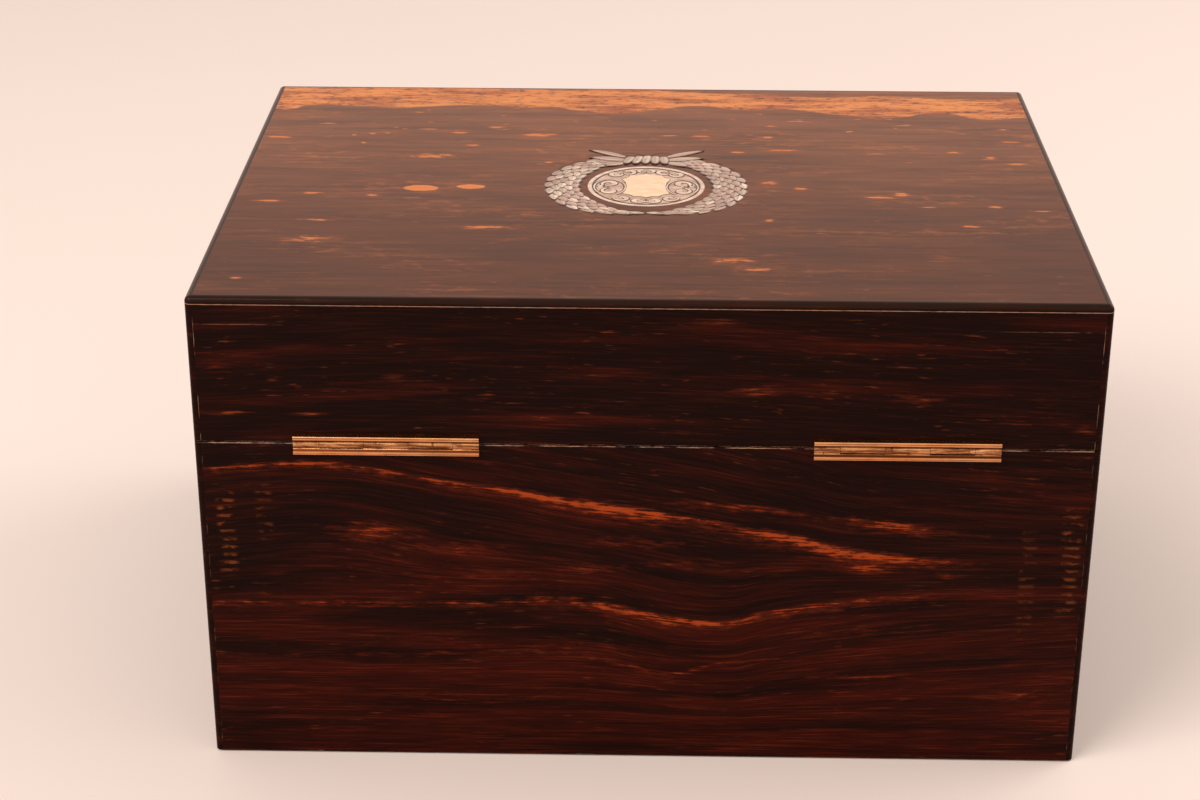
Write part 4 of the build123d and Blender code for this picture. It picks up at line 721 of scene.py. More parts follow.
# Painted shade with some dirt: dark lines in the creases beside the barrel, patches on the barrel,
# the leaf grooves and the knuckle joints
dirt_and_crease_shade = w.most(w.step(abs(height - barrel_side), 0.00022, 0.00058, 1.0, 0.0),
              barrel * w.step(smear, 0.40, 0.60, 0.10, 0.85),
              groove * w.step(smear, 0.30, 0.62, 0.45, 1.0), breaks * 0.8)
colour = w.blend(wear["Tarnish"], (0.94, 0.52, 0.225), (0.42, 0.150, 0.044))
# Dark colour of the painted crease shade and dirt
surface(w, shader, w.blend(dirt_and_crease_shade, colour, (0.095, 0.022, 0.0065)), wear["Roughness"] + dirt_and_crease_shade * 0.12,
        wear["Height"], 0.00001)

dress(mahogany, "carcass_mahogany", "case_back_board", "case_bottom_board", "case_deck_board",
      "case_front_board", "case_left_board", "case_right_board", "drawer_back", "drawer_bottom",
      "drawer_front", "drawer_sides", "lid_back_board", "lid_end_boards", "lid_front_board",
      "lid_top_board")
dress(hinge_brass, "polished_brass", "hinge_case_leaves", "hinge_lid_leaves", "hinge_pins")
dress(brass, "polished_brass", "case_screws", "lid_screws", "keyhole_escutcheon", "link_plate",
      "lock_case", "lock_bolt", "mirror_catch", "mirror_frame", "release_button", "drawer_keeper")
dress(steel, "spring_steel", "drawer_spring")
dress(mirror, "silvered_mirror", "mirror_glass")
print("carcass, metal and mirror dressed")

# %% [markdown]
# ## Velvet, leather and baize
# Velvet is short pile standing on end: it is dark when looked at straight and pale at a slant.
# The shader's own sheen does that, and a fine noise gives the pile its grain, with soft clouds
# where it has been stroked one way.

# %% Build cloth and leather
velvet, w, shader = material("blue_silk_velvet", Roughness=0.92, Specular_IOR_Level=0.2,
                             Sheen_Weight=0.45, Sheen_Roughness=0.35,
                             Sheen_Tint=(0.35, 0.42, 1.0, 1))
place = w.split(object_place(w))
pile = w.spread(place, 2600.0)
stroked = w.spread(place, 28.0, 3.0)
colour = w.blend(w.step(stroked, 0.30, 0.70), (0.010, 0.014, 0.080), (0.030, 0.038, 0.170))
colour = w.blend(w.step(pile, 0.35, 0.75, 0.0, 0.45), colour, (0.060, 0.075, 0.27))
surface(w, shader, colour, 0.92, pile, 0.00012)

leather, w, shader = material("blue_morocco_leather", IOR=1.5, Specular_IOR_Level=0.4)
x, y, z = w.split(object_place(w))
pebble = w.node("ShaderNodeTexVoronoi", {"Vector": w.join(x * 900.0, y * 900.0, z * 900.0),
                                         "Scale": 1.0})
tone = w.spread((x, y, z), 40.0, 3.0)
colour = w.blend(tone, (0.010, 0.014, 0.055), (0.026, 0.032, 0.110))
inset = w.math("MINIMUM", 0.1432 - abs(x), 0.1062 - abs(y))
gilt_table = [(0.005, 0.0004, 0.0006), (0.0068, 0.00015, 0.0003), (0.0290, 0.0004, 0.0006)]
gilt = w.most(*[w.step(abs(inset - line), thin, thick, 1.0, 0.0)
                for line, thin, thick in gilt_table]) * w.step(tone, 0.25, 0.45, 0.5, 1.0)
w.feed(shader["Metallic"], gilt)
surface(w, shader, w.blend(gilt, colour, (0.80, 0.52, 0.20)),
        w.step(pebble, 0.0, 0.7, 0.36, 0.55), pebble, 0.00008)

baize, w, shader = material("green_baize_wool", Roughness=0.98, Specular_IOR_Level=0.1,
                            Sheen_Weight=0.35, Sheen_Roughness=0.6)
x, y, z = w.split(object_place(w))
felt = w.spread((x, y, z), 1400.0, 4.0, 0.7)
hairs = w.noise(x * 300.0, y * 2200.0, 0.0, 3.0)
colour = w.blend(felt, (0.012, 0.070, 0.026), (0.045, 0.165, 0.070))
colour = w.blend(w.step(hairs, 0.55, 0.75, 0.0, 0.5), colour, (0.080, 0.20, 0.10))
surface(w, shader, colour, 0.98, felt, 0.00025)
print("cloth and leather built")

# %% [markdown]
# ## Mother-of-pearl
# Nacre is thin layers that tint the light pink, lilac and pale green as the surface turns. A
# thin-film shader would do it, but the colours also lie in patches, one to each cut piece, so
# each leaf carries its own tone as an attribute, and a wavy noise moves it along the leaf.

# %% Build the pearl materials
nacre, w, into, out = effect("nacre", {"Place": None, "Tone": 0.5}, {"Colour": "Color"})
px, py, pz = w.split(into["Place"])
waves = w.noise(px * 260.0, py * 420.0, into["Tone"] * 6.0, 4.0, 0.6)
hue = into["Tone"] * 0.55 + waves * 0.55
colour = w.blend(w.step(hue, 0.15, 0.38), (0.285, 0.155, 0.104), (0.52, 0.30, 0.205))
colour = w.blend(w.step(hue, 0.40, 0.54), colour, (0.60, 0.335, 0.255))
colour = w.blend(w.step(hue, 0.56, 0.70), colour, (0.57, 0.41, 0.275))
w.feed(out["Colour"], w.blend(w.step(hue, 0.70, 0.86), colour, (0.98, 0.70, 0.52)))


def pearl_material(name, carved):
    """Pearl. A carved leaf has its own tone, a dark rim, a vein, side cuts and painted shade on one
    side of its vein.
    """
    made, w, shader = material(name, IOR=1.55, Coat_Weight=0.3, Coat_Roughness=0.08)
    tone = 0.6
    if carved:
        tone = w.node("ShaderNodeAttribute", {}, out="Fac", attribute_name="tone")
    colour = w.group(nacre, Place=object_place(w), Tone=tone)["Colour"]
    if carved:
        u, v, flat = w.split(w.node("ShaderNodeUVMap", {}))
        across = abs((v - 0.5) * 2.0)
        rim = w.most(w.step(across, 0.62, 0.84), w.step(u, 0.86, 0.94),
                     w.step(u, 0.02, 0.08, 1.0, 0.0))
        vein = w.step(across, 0.02, 0.07, 0.55, 0.0)
        sides = w.math("SINE", (u + across * 0.35) * 38.0)
        twigs = w.step(sides, 0.88, 1.0, 0.0, 0.22) * w.step(across, 0.10, 0.6, 1.0, 0.0)
        # Painted shade: the half of each carved leaf on one side of its vein is darker
        colour = w.blend(w.step(v, 0.44, 0.56, 0.42, 0.0), colour, (0.16, 0.085, 0.060))
        colour = w.blend(w.most(rim, vein, twigs), colour, (0.052, 0.020, 0.012))
    ripple = w.spread(w.split(object_place(w)), (700.0, 1100.0, 700.0))
    surface(w, shader, colour, w.step(ripple, 0.3, 0.7, 0.18, 0.32), ripple, 0.00002)
    return made


leaf_pearl = pearl_material("mother_of_pearl_leaves", True)
dress(pearl_material("mother_of_pearl_plain", False), "mother_of_pearl", "tool_handles")

# %% [markdown]
# ## Meshes from points
# Most pieces below are rings of points joined by faces: a leaf, a lathe shape, a swept frame, a
# cut jar. Blender's own screw and curve tools could make some of them. One short function that
# joins rings makes them all, and a second one turns the result into an object.


# %% Helpers for meshes
def bridge(rings, count, first=0, loop=False, closed=True):
    """Faces between rings of count points each. A loop joins the last ring to the first."""
    faces = []
    for ring in range(rings if loop else rings - 1):
        here, ahead = first + ring * count, first + (ring + 1) % rings * count
        for corner in range(count if closed else count - 1):
            after = (corner + 1) % count
            faces.append((here + corner, here + after, ahead + after, ahead + corner))
    return faces


def mesh_object(name, verts, faces, uvs=None):
    """A new object at the origin from corners and faces, with outward normals."""
    mesh = bpy.data.meshes.new(name)
    mesh.from_pydata(verts, [], faces)
    if uvs is not None:
        layer = mesh.uv_layers.new(name="UVMap")
        for loop in mesh.loops:
            layer.data[loop.index].uv = uvs[loop.vertex_index]
    bm = bmesh.new()
    bm.from_mesh(mesh)
    if uvs is None:
        bmesh.ops.remove_doubles(bm, verts=bm.verts, dist=1e-7)
    bmesh.ops.recalc_face_normals(bm, faces=bm.faces)
    bm.to_mesh(mesh)
    bm.free()
    return new_object(name, mesh)


def turned_plate(name, rings, middle, segments=128):
    """A closed solid of revolution about a vertical axis, from (radius, z) points."""
    verts = []
    for number in range(segments):
        angle = 2 * math.pi * number / segments
        verts += [(middle[0] + radius * math.cos(angle), middle[1] + radius * math.sin(angle),
                   height) for radius, height in rings]
    return mesh_object(name, verts, bridge(segments, len(rings), loop=True))


def seat(piece, body, node=None):
    """Ties a piece to its body, and hides the CAD node that it takes the place of."""
    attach(piece, body)
    if node:
        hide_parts(node)


# %% [markdown]
# ## The laurel wreath
# Each branch is rows of small pearl leaves, set like scales from the tie to the tips. Placing
# seven score leaves by hand would be slow and stiff. Here Python works out a point for each leaf
# by one rule, and Geometry Nodes set a carved leaf on every point, turned and scaled by the
# point's attributes. Tips lie a hair above the next leaf's foot, so each outline stays clear.

# %% Shape one carved leaf
lid_face = 0.175


def leaf_object(name, roundness, crown, foot_depth):
    """A leaf one unit long and wide, its rim on z = 0, crowned with a valley at its vein."""
    stations = [0.0, 0.06, 0.16, 0.30, 0.46, 0.62, 0.78, 0.91, 1.0]
    columns = [-1.0, -0.82, -0.42, 0.0, 0.42, 0.82, 1.0]
    heights = [0.0, 0.75, 1.0, 0.55, 1.0, 0.75, 0.0]
    verts, uvs = [], []
    for u in stations:
        half = 0.5 * math.sin(math.pi * u ** 0.82) ** roundness if 0 < u < 1 else 0.02
        for v, height in zip(columns, heights):
            rise = crown * (2 * half) ** 0.5 * (0.45 + 0.55 * u)
            verts.append((u - 0.5, v * half, height * rise))
            uvs.append((u, v / 2 + 0.5))
    count = len(columns)
    faces = bridge(len(stations), count, closed=False)
    rim = [row * count for row in range(len(stations))]
    rim += [len(verts) - count + column for column in range(1, count)]
    rim += [row * count + count - 1 for row in range(len(stations) - 2, -1, -1)]
    rim += [column for column in range(count - 2, 0, -1)]
    below = len(verts)
    for number, corner in enumerate(rim):
        verts.append((verts[corner][0], verts[corner][1], -foot_depth))
        uvs.append(uvs[corner])
        after = (number + 1) % len(rim)
        faces.append((corner, rim[after], below + after, below + number))
    faces.append(tuple(range(below, below + len(rim))))
    return mesh_object(name, verts, faces, uvs)


carved_leaf = leaf_object("carved_leaf", 0.92, 0.00032, 0.0005)
folded_petal = leaf_object("folded_petal", 0.42, 0.00030, 0.0004)
print("leaf faces:", len(carved_leaf.data.polygons))

# %% Work out the leaves' places
inlay_x, inlay_y, stem = 1.0, 4.0, 30.9
branch_steps, branch_start, branch_end = 14, 30.0, 173.0
leaf_long, leaf_wide = 8.6, 4.7
tones = random.Random(7)
lean = random.Random(11)
leaves = []


def wreath_place(side, angle, radius):
    """A point of the wreath in mm. The angle runs in degrees from the tie, at the front."""
    turned = math.radians(angle)
    return (inlay_x + side * radius * math.sin(turned), inlay_y - radius * math.cos(turned))


def past(grown, start):
    """How far a branch has grown past a start, from 0 to 1 at its tip."""
    return max(0.0, (grown - start) / (1 - start))


for side in (-1, 1):
    for number in range(2 * branch_steps):
        grown = number / (2 * branch_steps - 1)
        place = branch_start + grown * (branch_end - branch_start)
        breadth = 9.5 + 4.2 * min(1.0, grown / 0.25) - 11.0 * past(grown, 0.66) ** 1.4
        middle = stem - 2.2 * past(grown, 0.6) ** 1.5
        rows = (-2, 0, 2) if number % 2 else (-1, 1)
        for row in rows if grown < 0.93 else (0,):
            px, py = wreath_place(side, place, middle + row * max(0.0, breadth - 4.6) / 4)
            turned = math.radians(place)
            growing = math.atan2(math.sin(turned), side * math.cos(turned))
            heading = growing - side * row * math.radians(6.0 * (1 - grown ** 2))
            heading += lean.gauss(0.0, 0.09)
            long = leaf_long * (1 - 0.10 * grown) * lean.uniform(0.94, 1.06)
            tone = min(1.0, max(0.0, tones.gauss(0.56 + 0.05 * side, 0.36)))
            leaves.append((px, py, heading, long, leaf_wide * (1 - 0.34 * grown ** 3), tone, 0.0))
ribbons = [((6.6, -32.4), (22.0, -39.9), 4.2), ((7.0, -29.4), (21.6, -31.0), 5.4),
           ((7.0, -27.2), (16.0, -21.6), 4.6)]
for side in (-1, 1):
    for foot, tip, width in ribbons:
        run, rise = tip[0] - foot[0], tip[1] - foot[1]
        leaves.append((inlay_x + side * (foot[0] + tip[0]) / 2, inlay_y + (foot[1] + tip[1]) / 2,
                       math.atan2(rise, side * run), math.hypot(run, rise), width,
                       tones.uniform(0.55, 0.75), 0.04))
petals = [(inlay_x + offset * 3.35, inlay_y - 29.2 + 0.3 * abs(offset),
           math.radians(84 - 5 * offset), 10.8 - 0.6 * abs(offset), 4.0,
           tones.uniform(0.55, 0.85), 0.16) for offset in (-2, -1, 0, 1, 2)]
print("leaves:", len(leaves))

# %% [markdown]
# ## Trees that set pieces
# Geometry Nodes can copy one small piece to many points. A modifier with a driver would keep it
# live; here a tree runs once on bare points, and what it makes is kept as a plain mesh. The leaf,
# the ring roll and the bead all use the same tree, and the spring has one of its own.


# %% Build the trees' helpers
def geometry_tree(name, **inputs):
    """A Geometry Nodes tree with named inputs, the first and last of which are always there."""
    tree = bpy.data.node_groups.new(name, "GeometryNodeTree")
    for label, kind in {"Geometry": "Geometry", **inputs, "Finish": "Material"}.items():
        tree.interface.new_socket(label, in_out="INPUT", socket_type="NodeSocket" + kind)
    tree.interface.new_socket("Geometry", in_out="OUTPUT", socket_type="NodeSocketGeometry")
    w = Wires(tree)
    return tree, w, w.named(tree.nodes.new("NodeGroupInput").outputs)


def send_out(w, into, geometry):
    """Makes the geometry real, gives it its finish and sends it out of the tree."""
    real = w.node("GeometryNodeRealizeInstances", {0: geometry})
    painted = w.node("GeometryNodeSetMaterial", {"Geometry": real, "Material": into["Finish"]})
    w.feed(w.tree.nodes.new("NodeGroupOutput").inputs[0], painted)


def point(w, label):
    return w.node("GeometryNodeInputNamedAttribute", {"Name": label}, out="Attribute",
                  data_type="FLOAT")


# %% Build the tree that sets the leaves
setting, w, into = geometry_tree("set_leaves", Leaf="Object", Tilt="Float")
leaf = w.node("GeometryNodeObjectInfo", {"Object": into["Leaf"]}, out="Geometry")
send_out(w, into, w.node("GeometryNodeInstanceOnPoints", {
    "Points": into["Geometry"], "Instance": leaf,
    "Scale": w.join(point(w, "long"), point(w, "wide"), 1.0),
    "Rotation": w.join(0.0, into["Tilt"], point(w, "heading"))}))


def grow(name, tree, points, attributes, settings):
    """Runs a tree on bare points and returns the result as a plain mesh object."""
    seed_mesh = bpy.data.meshes.new(name + "_points")
    seed_mesh.from_pydata(points, [], [])
    for label, values in attributes.items():
        layer = seed_mesh.attributes.new(label, "FLOAT", "POINT")
        layer.data.foreach_set("value", values)
    seed = new_object(name + "_points", seed_mesh)
    modifier = seed.modifiers.new("grow", "NODES")
    modifier.node_group = tree
    for item in tree.interface.items_tree:
        if item.in_out == "INPUT" and item.name in settings:
            modifier[item.identifier] = settings[item.name]
    graph = bpy.context.evaluated_depsgraph_get()
    graph.update()
    mesh = bpy.data.meshes.new_from_object(seed.evaluated_get(graph))
    bpy.data.objects.remove(seed)
    mesh.name = name
    return new_object(name, mesh)


def set_pieces(name, piece, places, headings, longs, wides, paint, shades=(), tilt=0.0):
    """Sets one piece at all its places, in mm, and then removes the single one."""
    attributes = {"heading": headings, "long": longs, "wide": wides}
    if shades:
        attributes["tone"] = shades
    made = grow(name, setting, [tuple(value * mm for value in place) for place in places],
                attributes, {"Leaf": piece, "Tilt": tilt, "Finish": paint})
    bpy.data.objects.remove(piece)
    return made


def set_leaves(name, leaf, rows):
    """Sets one kind of leaf, its tips tilted up a little."""
    px, py, headings, longs, wides, shades, lifts = zip(*rows)
    places = list(zip(px, py, [lid_face / mm + lift for lift in lifts]))
    return set_pieces(name, leaf, places, headings, [long * mm for long in longs],
                      [wide * mm for wide in wides], leaf_pearl, shades, -0.030)


wreath = set_leaves("laurel_wreath_leaves", carved_leaf, leaves)
knot = set_leaves("ribbon_knot", folded_petal, petals)
seat(wreath, "lid", "pearl_wreath")
seat(knot, "lid")
print("wreath faces:", len(wreath.data.polygons))

# %% [markdown]
# ## The mastic under the leaves
# Dark mastic fills the cut-out round each leaf. A picture mask would be the usual way. Here a
# fine plate in the veneer's own material carries a number at each corner that says how near a
# leaf is, and the material turns dark where it is high.

# %% Lay the dark mastic
inlay_middle = (inlay_x * mm, inlay_y * mm)
bed_inner, bed_outer, bed_rings = 22.2, 39.2, 34
bed_top, bed_foot = 0.17492, 0.1741
bed_radii = [bed_inner + (bed_outer - bed_inner) * ring / bed_rings
             for ring in range(bed_rings + 1)]
bed = turned_plate("wreath_mastic", [(radius * mm, bed_top) for radius in bed_radii] +
                   [(bed_outer * mm, bed_foot), (bed_inner * mm, bed_foot)], inlay_middle, 256)
near_leaf = bed.data.attributes.new("near_leaf", "FLOAT", "POINT")


def leaf_nearness(px, py):
    """1 under a leaf, 0 from about half a millimetre outside it. Lengths are in mm."""
    nearest = 9.0
    for leaf_x, leaf_y, heading, length, width, tone, lift in leaves + petals:
        dx, dy = px - leaf_x, py - leaf_y
        if abs(dx) + abs(dy) < 1.5 * length:
            along = dx * math.cos(heading) + dy * math.sin(heading)
            across = dy * math.cos(heading) - dx * math.sin(heading)
            nearest = min(nearest, math.hypot(along / (0.48 * length), across / (0.46 * width)))
    return max(0.0, min(1.0, (1.22 - nearest) / 0.22))


for corner in bed.data.vertices:
    near_leaf.data[corner.index].value = leaf_nearness(corner.co.x / mm, corner.co.y / mm)
mastic = lid_top.copy()
mastic.name = "dark_mastic"
w = Wires(mastic.node_tree)
base = principled(mastic.node_tree)["Base Color"]
under = w.node("ShaderNodeAttribute", {}, out="Fac", attribute_name="near_leaf")
w.feed(base, w.blend(under, Value(w, base.links[0].from_socket), (0.045, 0.017, 0.010)))
bed.data.materials.append(mastic)
seat(bed, "lid")
print("mastic faces:", len(bed.data.polygons))

# %% [markdown]
# ## The engraved plaque
# Inside the wreath lies a round plate of pearl: a raised rim, a fine groove, and scrolls cut
# round a plain cartouche. Lines could be cut with a boolean, which leaves ragged faces on so thin
# a plate. Here each scroll is a tapered strip along a spiral, with a slightly wider dark strip
# below it as its cut outline.

# %% Shape strips, spirals and plates
plate_top = 0.17505
scroll_steps, head_swell, cut_margin = 26, 1.35, 1.05


def strip(shell, points, widths, low, high):
    """Adds a closed strip to a shell, along points in mm about the plaque's middle. Its foot
    and its face lie at low and high, in metres above the plaque's top."""
    verts, faces = shell
    first = len(verts)
    for number, (px, py) in enumerate(points):
        ahead = points[min(number + 1, len(points) - 1)]
        behind = points[max(number - 1, 0)]
        run, rise = ahead[0] - behind[0], ahead[1] - behind[1]
        reach = widths[number] / 2 / math.hypot(run, rise)
        for sign, level in ((1, low), (-1, low), (-1, high), (1, high)):
            verts.append(((inlay_x + px - sign * rise * reach) * mm,
                          (inlay_y + py + sign * run * reach) * mm, plate_top + level))
    faces += bridge(len(points), 4, first)
    last = len(verts) - 4
    faces.append((first, first + 1, first + 2, first + 3))
    faces.append((last + 3, last + 2, last + 1, last))


def scroll(middle, outer, inner, start, sweep, squash=1.0):
    """Points of a spiral in mm, from its outer end inward."""
    points = []
    for number in range(scroll_steps + 1):
        share = number / scroll_steps
        angle = math.radians(start + sweep * share)
        radius = outer + (inner - outer) * share ** 0.8
        points.append((middle[0] + radius * math.cos(angle),
                       middle[1] + radius * math.sin(angle) * squash))
    return points


def taper(thin, thick):
    """Widths that swell from a hair to a rounded head."""
    bulge = [math.sin(math.pi * (number / scroll_steps) ** 1.6 * 0.55)
             for number in range(scroll_steps + 1)]
    return [head_swell * (thin + (thick - thin) * share) for share in bulge]


def plate(shell, outline, low, high, swell):
    """Adds a flat closed plate with the given outline in mm, made wider by swell."""
    verts, faces = shell
    first, count = len(verts), len(outline)
    for level in (low, high):
        for px, py in outline:
            grown = 1 + swell / math.hypot(px, py)
            verts.append(((inlay_x + px * grown) * mm, (inlay_y + py * grown) * mm,
                          plate_top + level))
    faces += bridge(2, count, first)
    faces.append(tuple(range(first, first + count)))
    faces.append(tuple(range(first + 2 * count - 1, first + count - 1, -1)))


# %% Engrave the plaque
scroll_table = [
    ((13.4, 1.4), 5.9, 5.7, 115, 290, 1.42, None),
    ((13.2, -2.3), 4.0, 0.8, 80, -330, 0.95, (0.5, 2.0)),
    ((13.4, 5.6), 3.7, 0.8, -90, 320, 0.95, (0.5, 1.9)),
    ((16.0, 1.5), 2.3, 0.8, 150, 200, 1.0, (0.4, 1.3)),
    ((6.3, -15.1), 3.3, 0.7, 20, 320, 0.95, (0.5, 1.8)),
    ((11.6, -12.6), 3.1, 0.6, 200, -310, 0.95, (0.5, 1.7)),
    ((1.7, -16.4), 2.2, 0.5, 170, -300, 0.9, (0.4, 1.4)),
    ((2.9, 15.7), 3.1, 0.7, 200, -320, 0.9, (0.5, 1.7)),
    ((8.6, 13.4), 3.3, 0.6, -10, 320, 0.9, (0.5, 1.7))]
cuts, scrolls, shield = ([], []), ([], []), ([], [])
foot, outline_rise, scroll_rise, shield_rise = -0.00010, 0.00002, 0.00014, 0.00012
for side in (-1, 1):
    for *spiral, widths in scroll_table:
        points = [(side * px, py) for px, py in scroll(*spiral)]
        widths = taper(*widths) if widths else [0.55] * len(points)
        strip(cuts, points, [width + cut_margin for width in widths], foot, outline_rise)
        strip(scrolls, points, widths, foot, scroll_rise)
half_cartouche = [(0.0, -13.3), (1.6, -11.9), (3.6, -11.3), (5.8, -11.6), (6.6, -9.4), (8.9, -7.2),
                  (7.6, -4.0), (7.1, 0.7), (7.4, 4.6), (8.6, 8.2), (6.2, 9.2), (4.4, 11.2),
                  (2.0, 11.0), (0.0, 12.3)]
cartouche = half_cartouche + [(-px, py) for px, py in half_cartouche[-2:0:-1]]
plate(cuts, cartouche, foot, 0.00003, 0.38)
plate(shield, cartouche, foot, shield_rise, 0.0)


def engraved_paint(name, first, second, roughness):
    made, w, shader = material(name, IOR=1.55, Coat_Weight=0.25, Coat_Roughness=0.1)
    x, y, z = w.split(object_place(w))
    sheen = w.noise(x * 190.0, y * 320.0, 4.0, 4.0, 0.6)
    w.feed(shader["Base Color"], w.blend(w.step(sheen, 0.32, 0.68), first, second))
    w.feed(shader["Roughness"], sheen * 0.14 + roughness)
    return made


pearl_ground = engraved_paint("engraved_pearl_ground", (0.38, 0.20, 0.130), (0.74, 0.48, 0.34),
                              0.24)
pearl_raised = engraved_paint("engraved_pearl_raised", (0.62, 0.40, 0.29), (0.90, 0.66, 0.50),
                              0.20)
pearl_shield = engraved_paint("engraved_pearl_shield", (0.88, 0.54, 0.31), (1.0, 0.68, 0.44),
                              0.20)
cut_wax = engraved_paint("engraved_line_wax", (0.030, 0.012, 0.007), (0.060, 0.026, 0.016), 0.35)
disc_edge, groove_edge = 0.0200, 0.0192
disc = turned_plate("engraved_disc", [
    (0.0, 0.1742), (0.0213, 0.1742), (0.0215, 0.17480), (0.0215, 0.17510), (0.0213, 0.17522),
    (0.0204, 0.17522), (disc_edge, 0.17508), (0.0198, 0.17492), (0.0194, 0.17492),
    (groove_edge, plate_top), (0.0, plate_top)], inlay_middle)
for paint in (pearl_ground, pearl_raised, cut_wax):
    disc.data.materials.append(paint)
for face in disc.data.polygons:
    reach = math.hypot(face.center.x - inlay_middle[0], face.center.y - inlay_middle[1])
    face.material_index = 1 if reach > disc_edge else 2 if reach > groove_edge else 0
seat(disc, "lid", "engraved_plaque")
for name, shell, paint in (("engraved_cuts", cuts, cut_wax),
                           ("engraved_scrolls", scrolls, pearl_raised),
                           ("engraved_cartouche", shield, pearl_shield)):
    piece = mesh_object(name, *shell)
    piece.data.materials.append(paint)
    seat(piece, "lid")
    print(name, "faces:", len(piece.data.polygons))

# %% [markdown]
# ## Velvet boards and linings
# The tray, its dividers and the linings are thin boards and cards with velvet glued over them, so
# every edge is a small round fold. A subdivision surface would soften them too but pulls corners
# in. A bevel on a merged copy of each CAD part keeps its faces in place and rounds only the
# edges. The baize under the box is covered in the same way, and is laid flat as a sheet.


# %% Cover a board with cloth
fold_angle = math.radians(30)


def covered(node, name, fold, paint, body):
    """A copy of a CAD part with its outer edges folded round, in place of the part."""
    mesh = nodes[node].data.copy()
    bm = bmesh.new()
    bm.from_mesh(mesh)
    bmesh.ops.remove_doubles(bm, verts=bm.verts, dist=1e-6)
    bmesh.ops.dissolve_limit(bm, angle_limit=math.radians(1), verts=bm.verts, edges=bm.edges)
    sharp = [edge for edge in bm.edges
             if edge.is_manifold and edge.is_convex and edge.calc_face_angle() > fold_angle]
    bmesh.ops.bevel(bm, geom=sharp, offset=fold, segments=3, profile=0.5, affect="EDGES",
                    clamp_overlap=True)
    for face in bm.faces:
        face.smooth = False
    bm.to_mesh(mesh)
    bm.free()
    mesh.materials.clear()
    mesh.materials.append(paint)
    made = new_object(name, mesh)
    seat(made, body, node)
    return made


for node, name, fold, body in (
        ("tray_frame", "velvet_tray_sides", 0.0009, "case"),
        ("tray_floor", "velvet_tray_floor", 0.0004, "case"),
        ("tray_dividers", "velvet_tray_dividers", 0.0009, "case"),
        ("compartment_lining", "velvet_case_lining", 0.0003, "case"),
        ("drawer_lining", "velvet_drawer_lining", 0.0004, "drawer"),
        ("drawer_dividers", "velvet_drawer_dividers", 0.0009, "drawer")):
    covered(node, name, fold, velvet, body)
foot_cloth = covered("baize_underlay", "baize_foot_cloth", 0.0002, baize, "case")
print("covered boards done")

# %% [markdown]
# ## The manicure pad
# The front of the tray holds a stuffed velvet pad with a groove for each tool. Stuffing pushes the
# velvet up wherever it isn't sewn down. A sculpt brush could do that by eye. Here a fine grid is
# rounded like a cushion, then Blender's cloth puffs it with air pressure while the sewn lines
# and the foot hold still, and last the grooves are pressed in where the tools lie.


# %% Puff a stuffed form
def grid_box(name, low, high, counts, rounding):
    """A closed box of even quads with rounded edges. Sizes are in millimetres."""
    verts, faces, found = [], [], {}

    def corner(place):
        if place not in found:
            found[place] = len(verts)
            flat = [low[axis] + (high[axis] - low[axis]) * place[axis] / counts[axis]
                    for axis in range(3)]
            core = [min(max(flat[axis], low[axis] + rounding), high[axis] - rounding)
                    for axis in range(3)]
            off = Vector([flat[axis] - core[axis] for axis in range(3)])
            if off.length > 0:
                off = off.normalized() * rounding
            verts.append(tuple((core[axis] + off[axis]) * mm for axis in range(3)))
        return found[place]

    for axis in range(3):
        first, second = (axis + 1) % 3, (axis + 2) % 3
        for end in (0, counts[axis]):
            for one in range(counts[first]):
                for two in range(counts[second]):
                    quad = []
                    for step_one, step_two in ((0, 0), (1, 0), (1, 1), (0, 1)):
                        place = [0, 0, 0]
                        place[axis] = end
                        place[first], place[second] = one + step_one, two + step_two
                        quad.append(corner(tuple(place)))
                    faces.append(tuple(quad))
    return mesh_object(name, verts, faces)


cloth_frames = 20
cloth_settings = {"vertex_group_mass": "sewn", "use_pressure": True, "quality": 5, "mass": 0.15,
                  "tension_stiffness": 30, "compression_stiffness": 30, "bending_stiffness": 0.8}


def puff(piece, sewn, pressure, cap):
    """Blows a closed form up as cloth. sewn tells which points hold still, cap how far any goes."""
    start = [vertex.co.copy() for vertex in piece.data.vertices]
    pins = piece.vertex_groups.new(name="sewn")
    pins.add([number for number, place in enumerate(start) if sewn(place / mm)], 1.0, "REPLACE")
    cloth = piece.modifiers.new("stuffing", "CLOTH")
    for name, value in cloth_settings.items():
        setattr(cloth.settings, name, value)
    cloth.settings.uniform_pressure_force = pressure
    cloth.settings.effector_weights.gravity = 0
    scene = bpy.context.scene
    for number in range(1, cloth_frames + 1):
        scene.frame_set(number)
    graph = bpy.context.evaluated_depsgraph_get()
    puffed = [vertex.co.copy() for vertex in piece.evaluated_get(graph).data.vertices]
    piece.modifiers.remove(cloth)
    piece.vertex_groups.clear()
    scene.frame_set(1)
    for vertex, old, new in zip(piece.data.vertices, start, puffed):
        move = new - old
        if move.length > cap:
            move = move.normalized() * cap
        vertex.co = old + move
    smooth(piece)


def smooth(piece):
    for face in piece.data.polygons:
        face.use_smooth = True


# %% Puff the pad and press its grooves
tool_rows, tool_middles = (-85.7, -66.7, -47.7), (-69.45, 69.45)
tool_axis, groove_radius, groove_half = 100.1, 3.45, 58.5
seam_depth, seam_width, pad_limit = 0.9, 1.6, 99.6
pad = grid_box("stuffed_manicure_pad", (-138.6, -101.6, 92.1), (138.6, -31.8, 98.2), (92, 56, 5),
               2.6)
pad.data.materials.append(velvet)


def pad_sewn(place):
    """Still points of the pad: its foot, the middle seam and the lines under the tools."""
    return (place.z < 94.5 or abs(place.x) < seam_width
            or any(abs(place.y - row) < 1.0 for row in tool_rows))


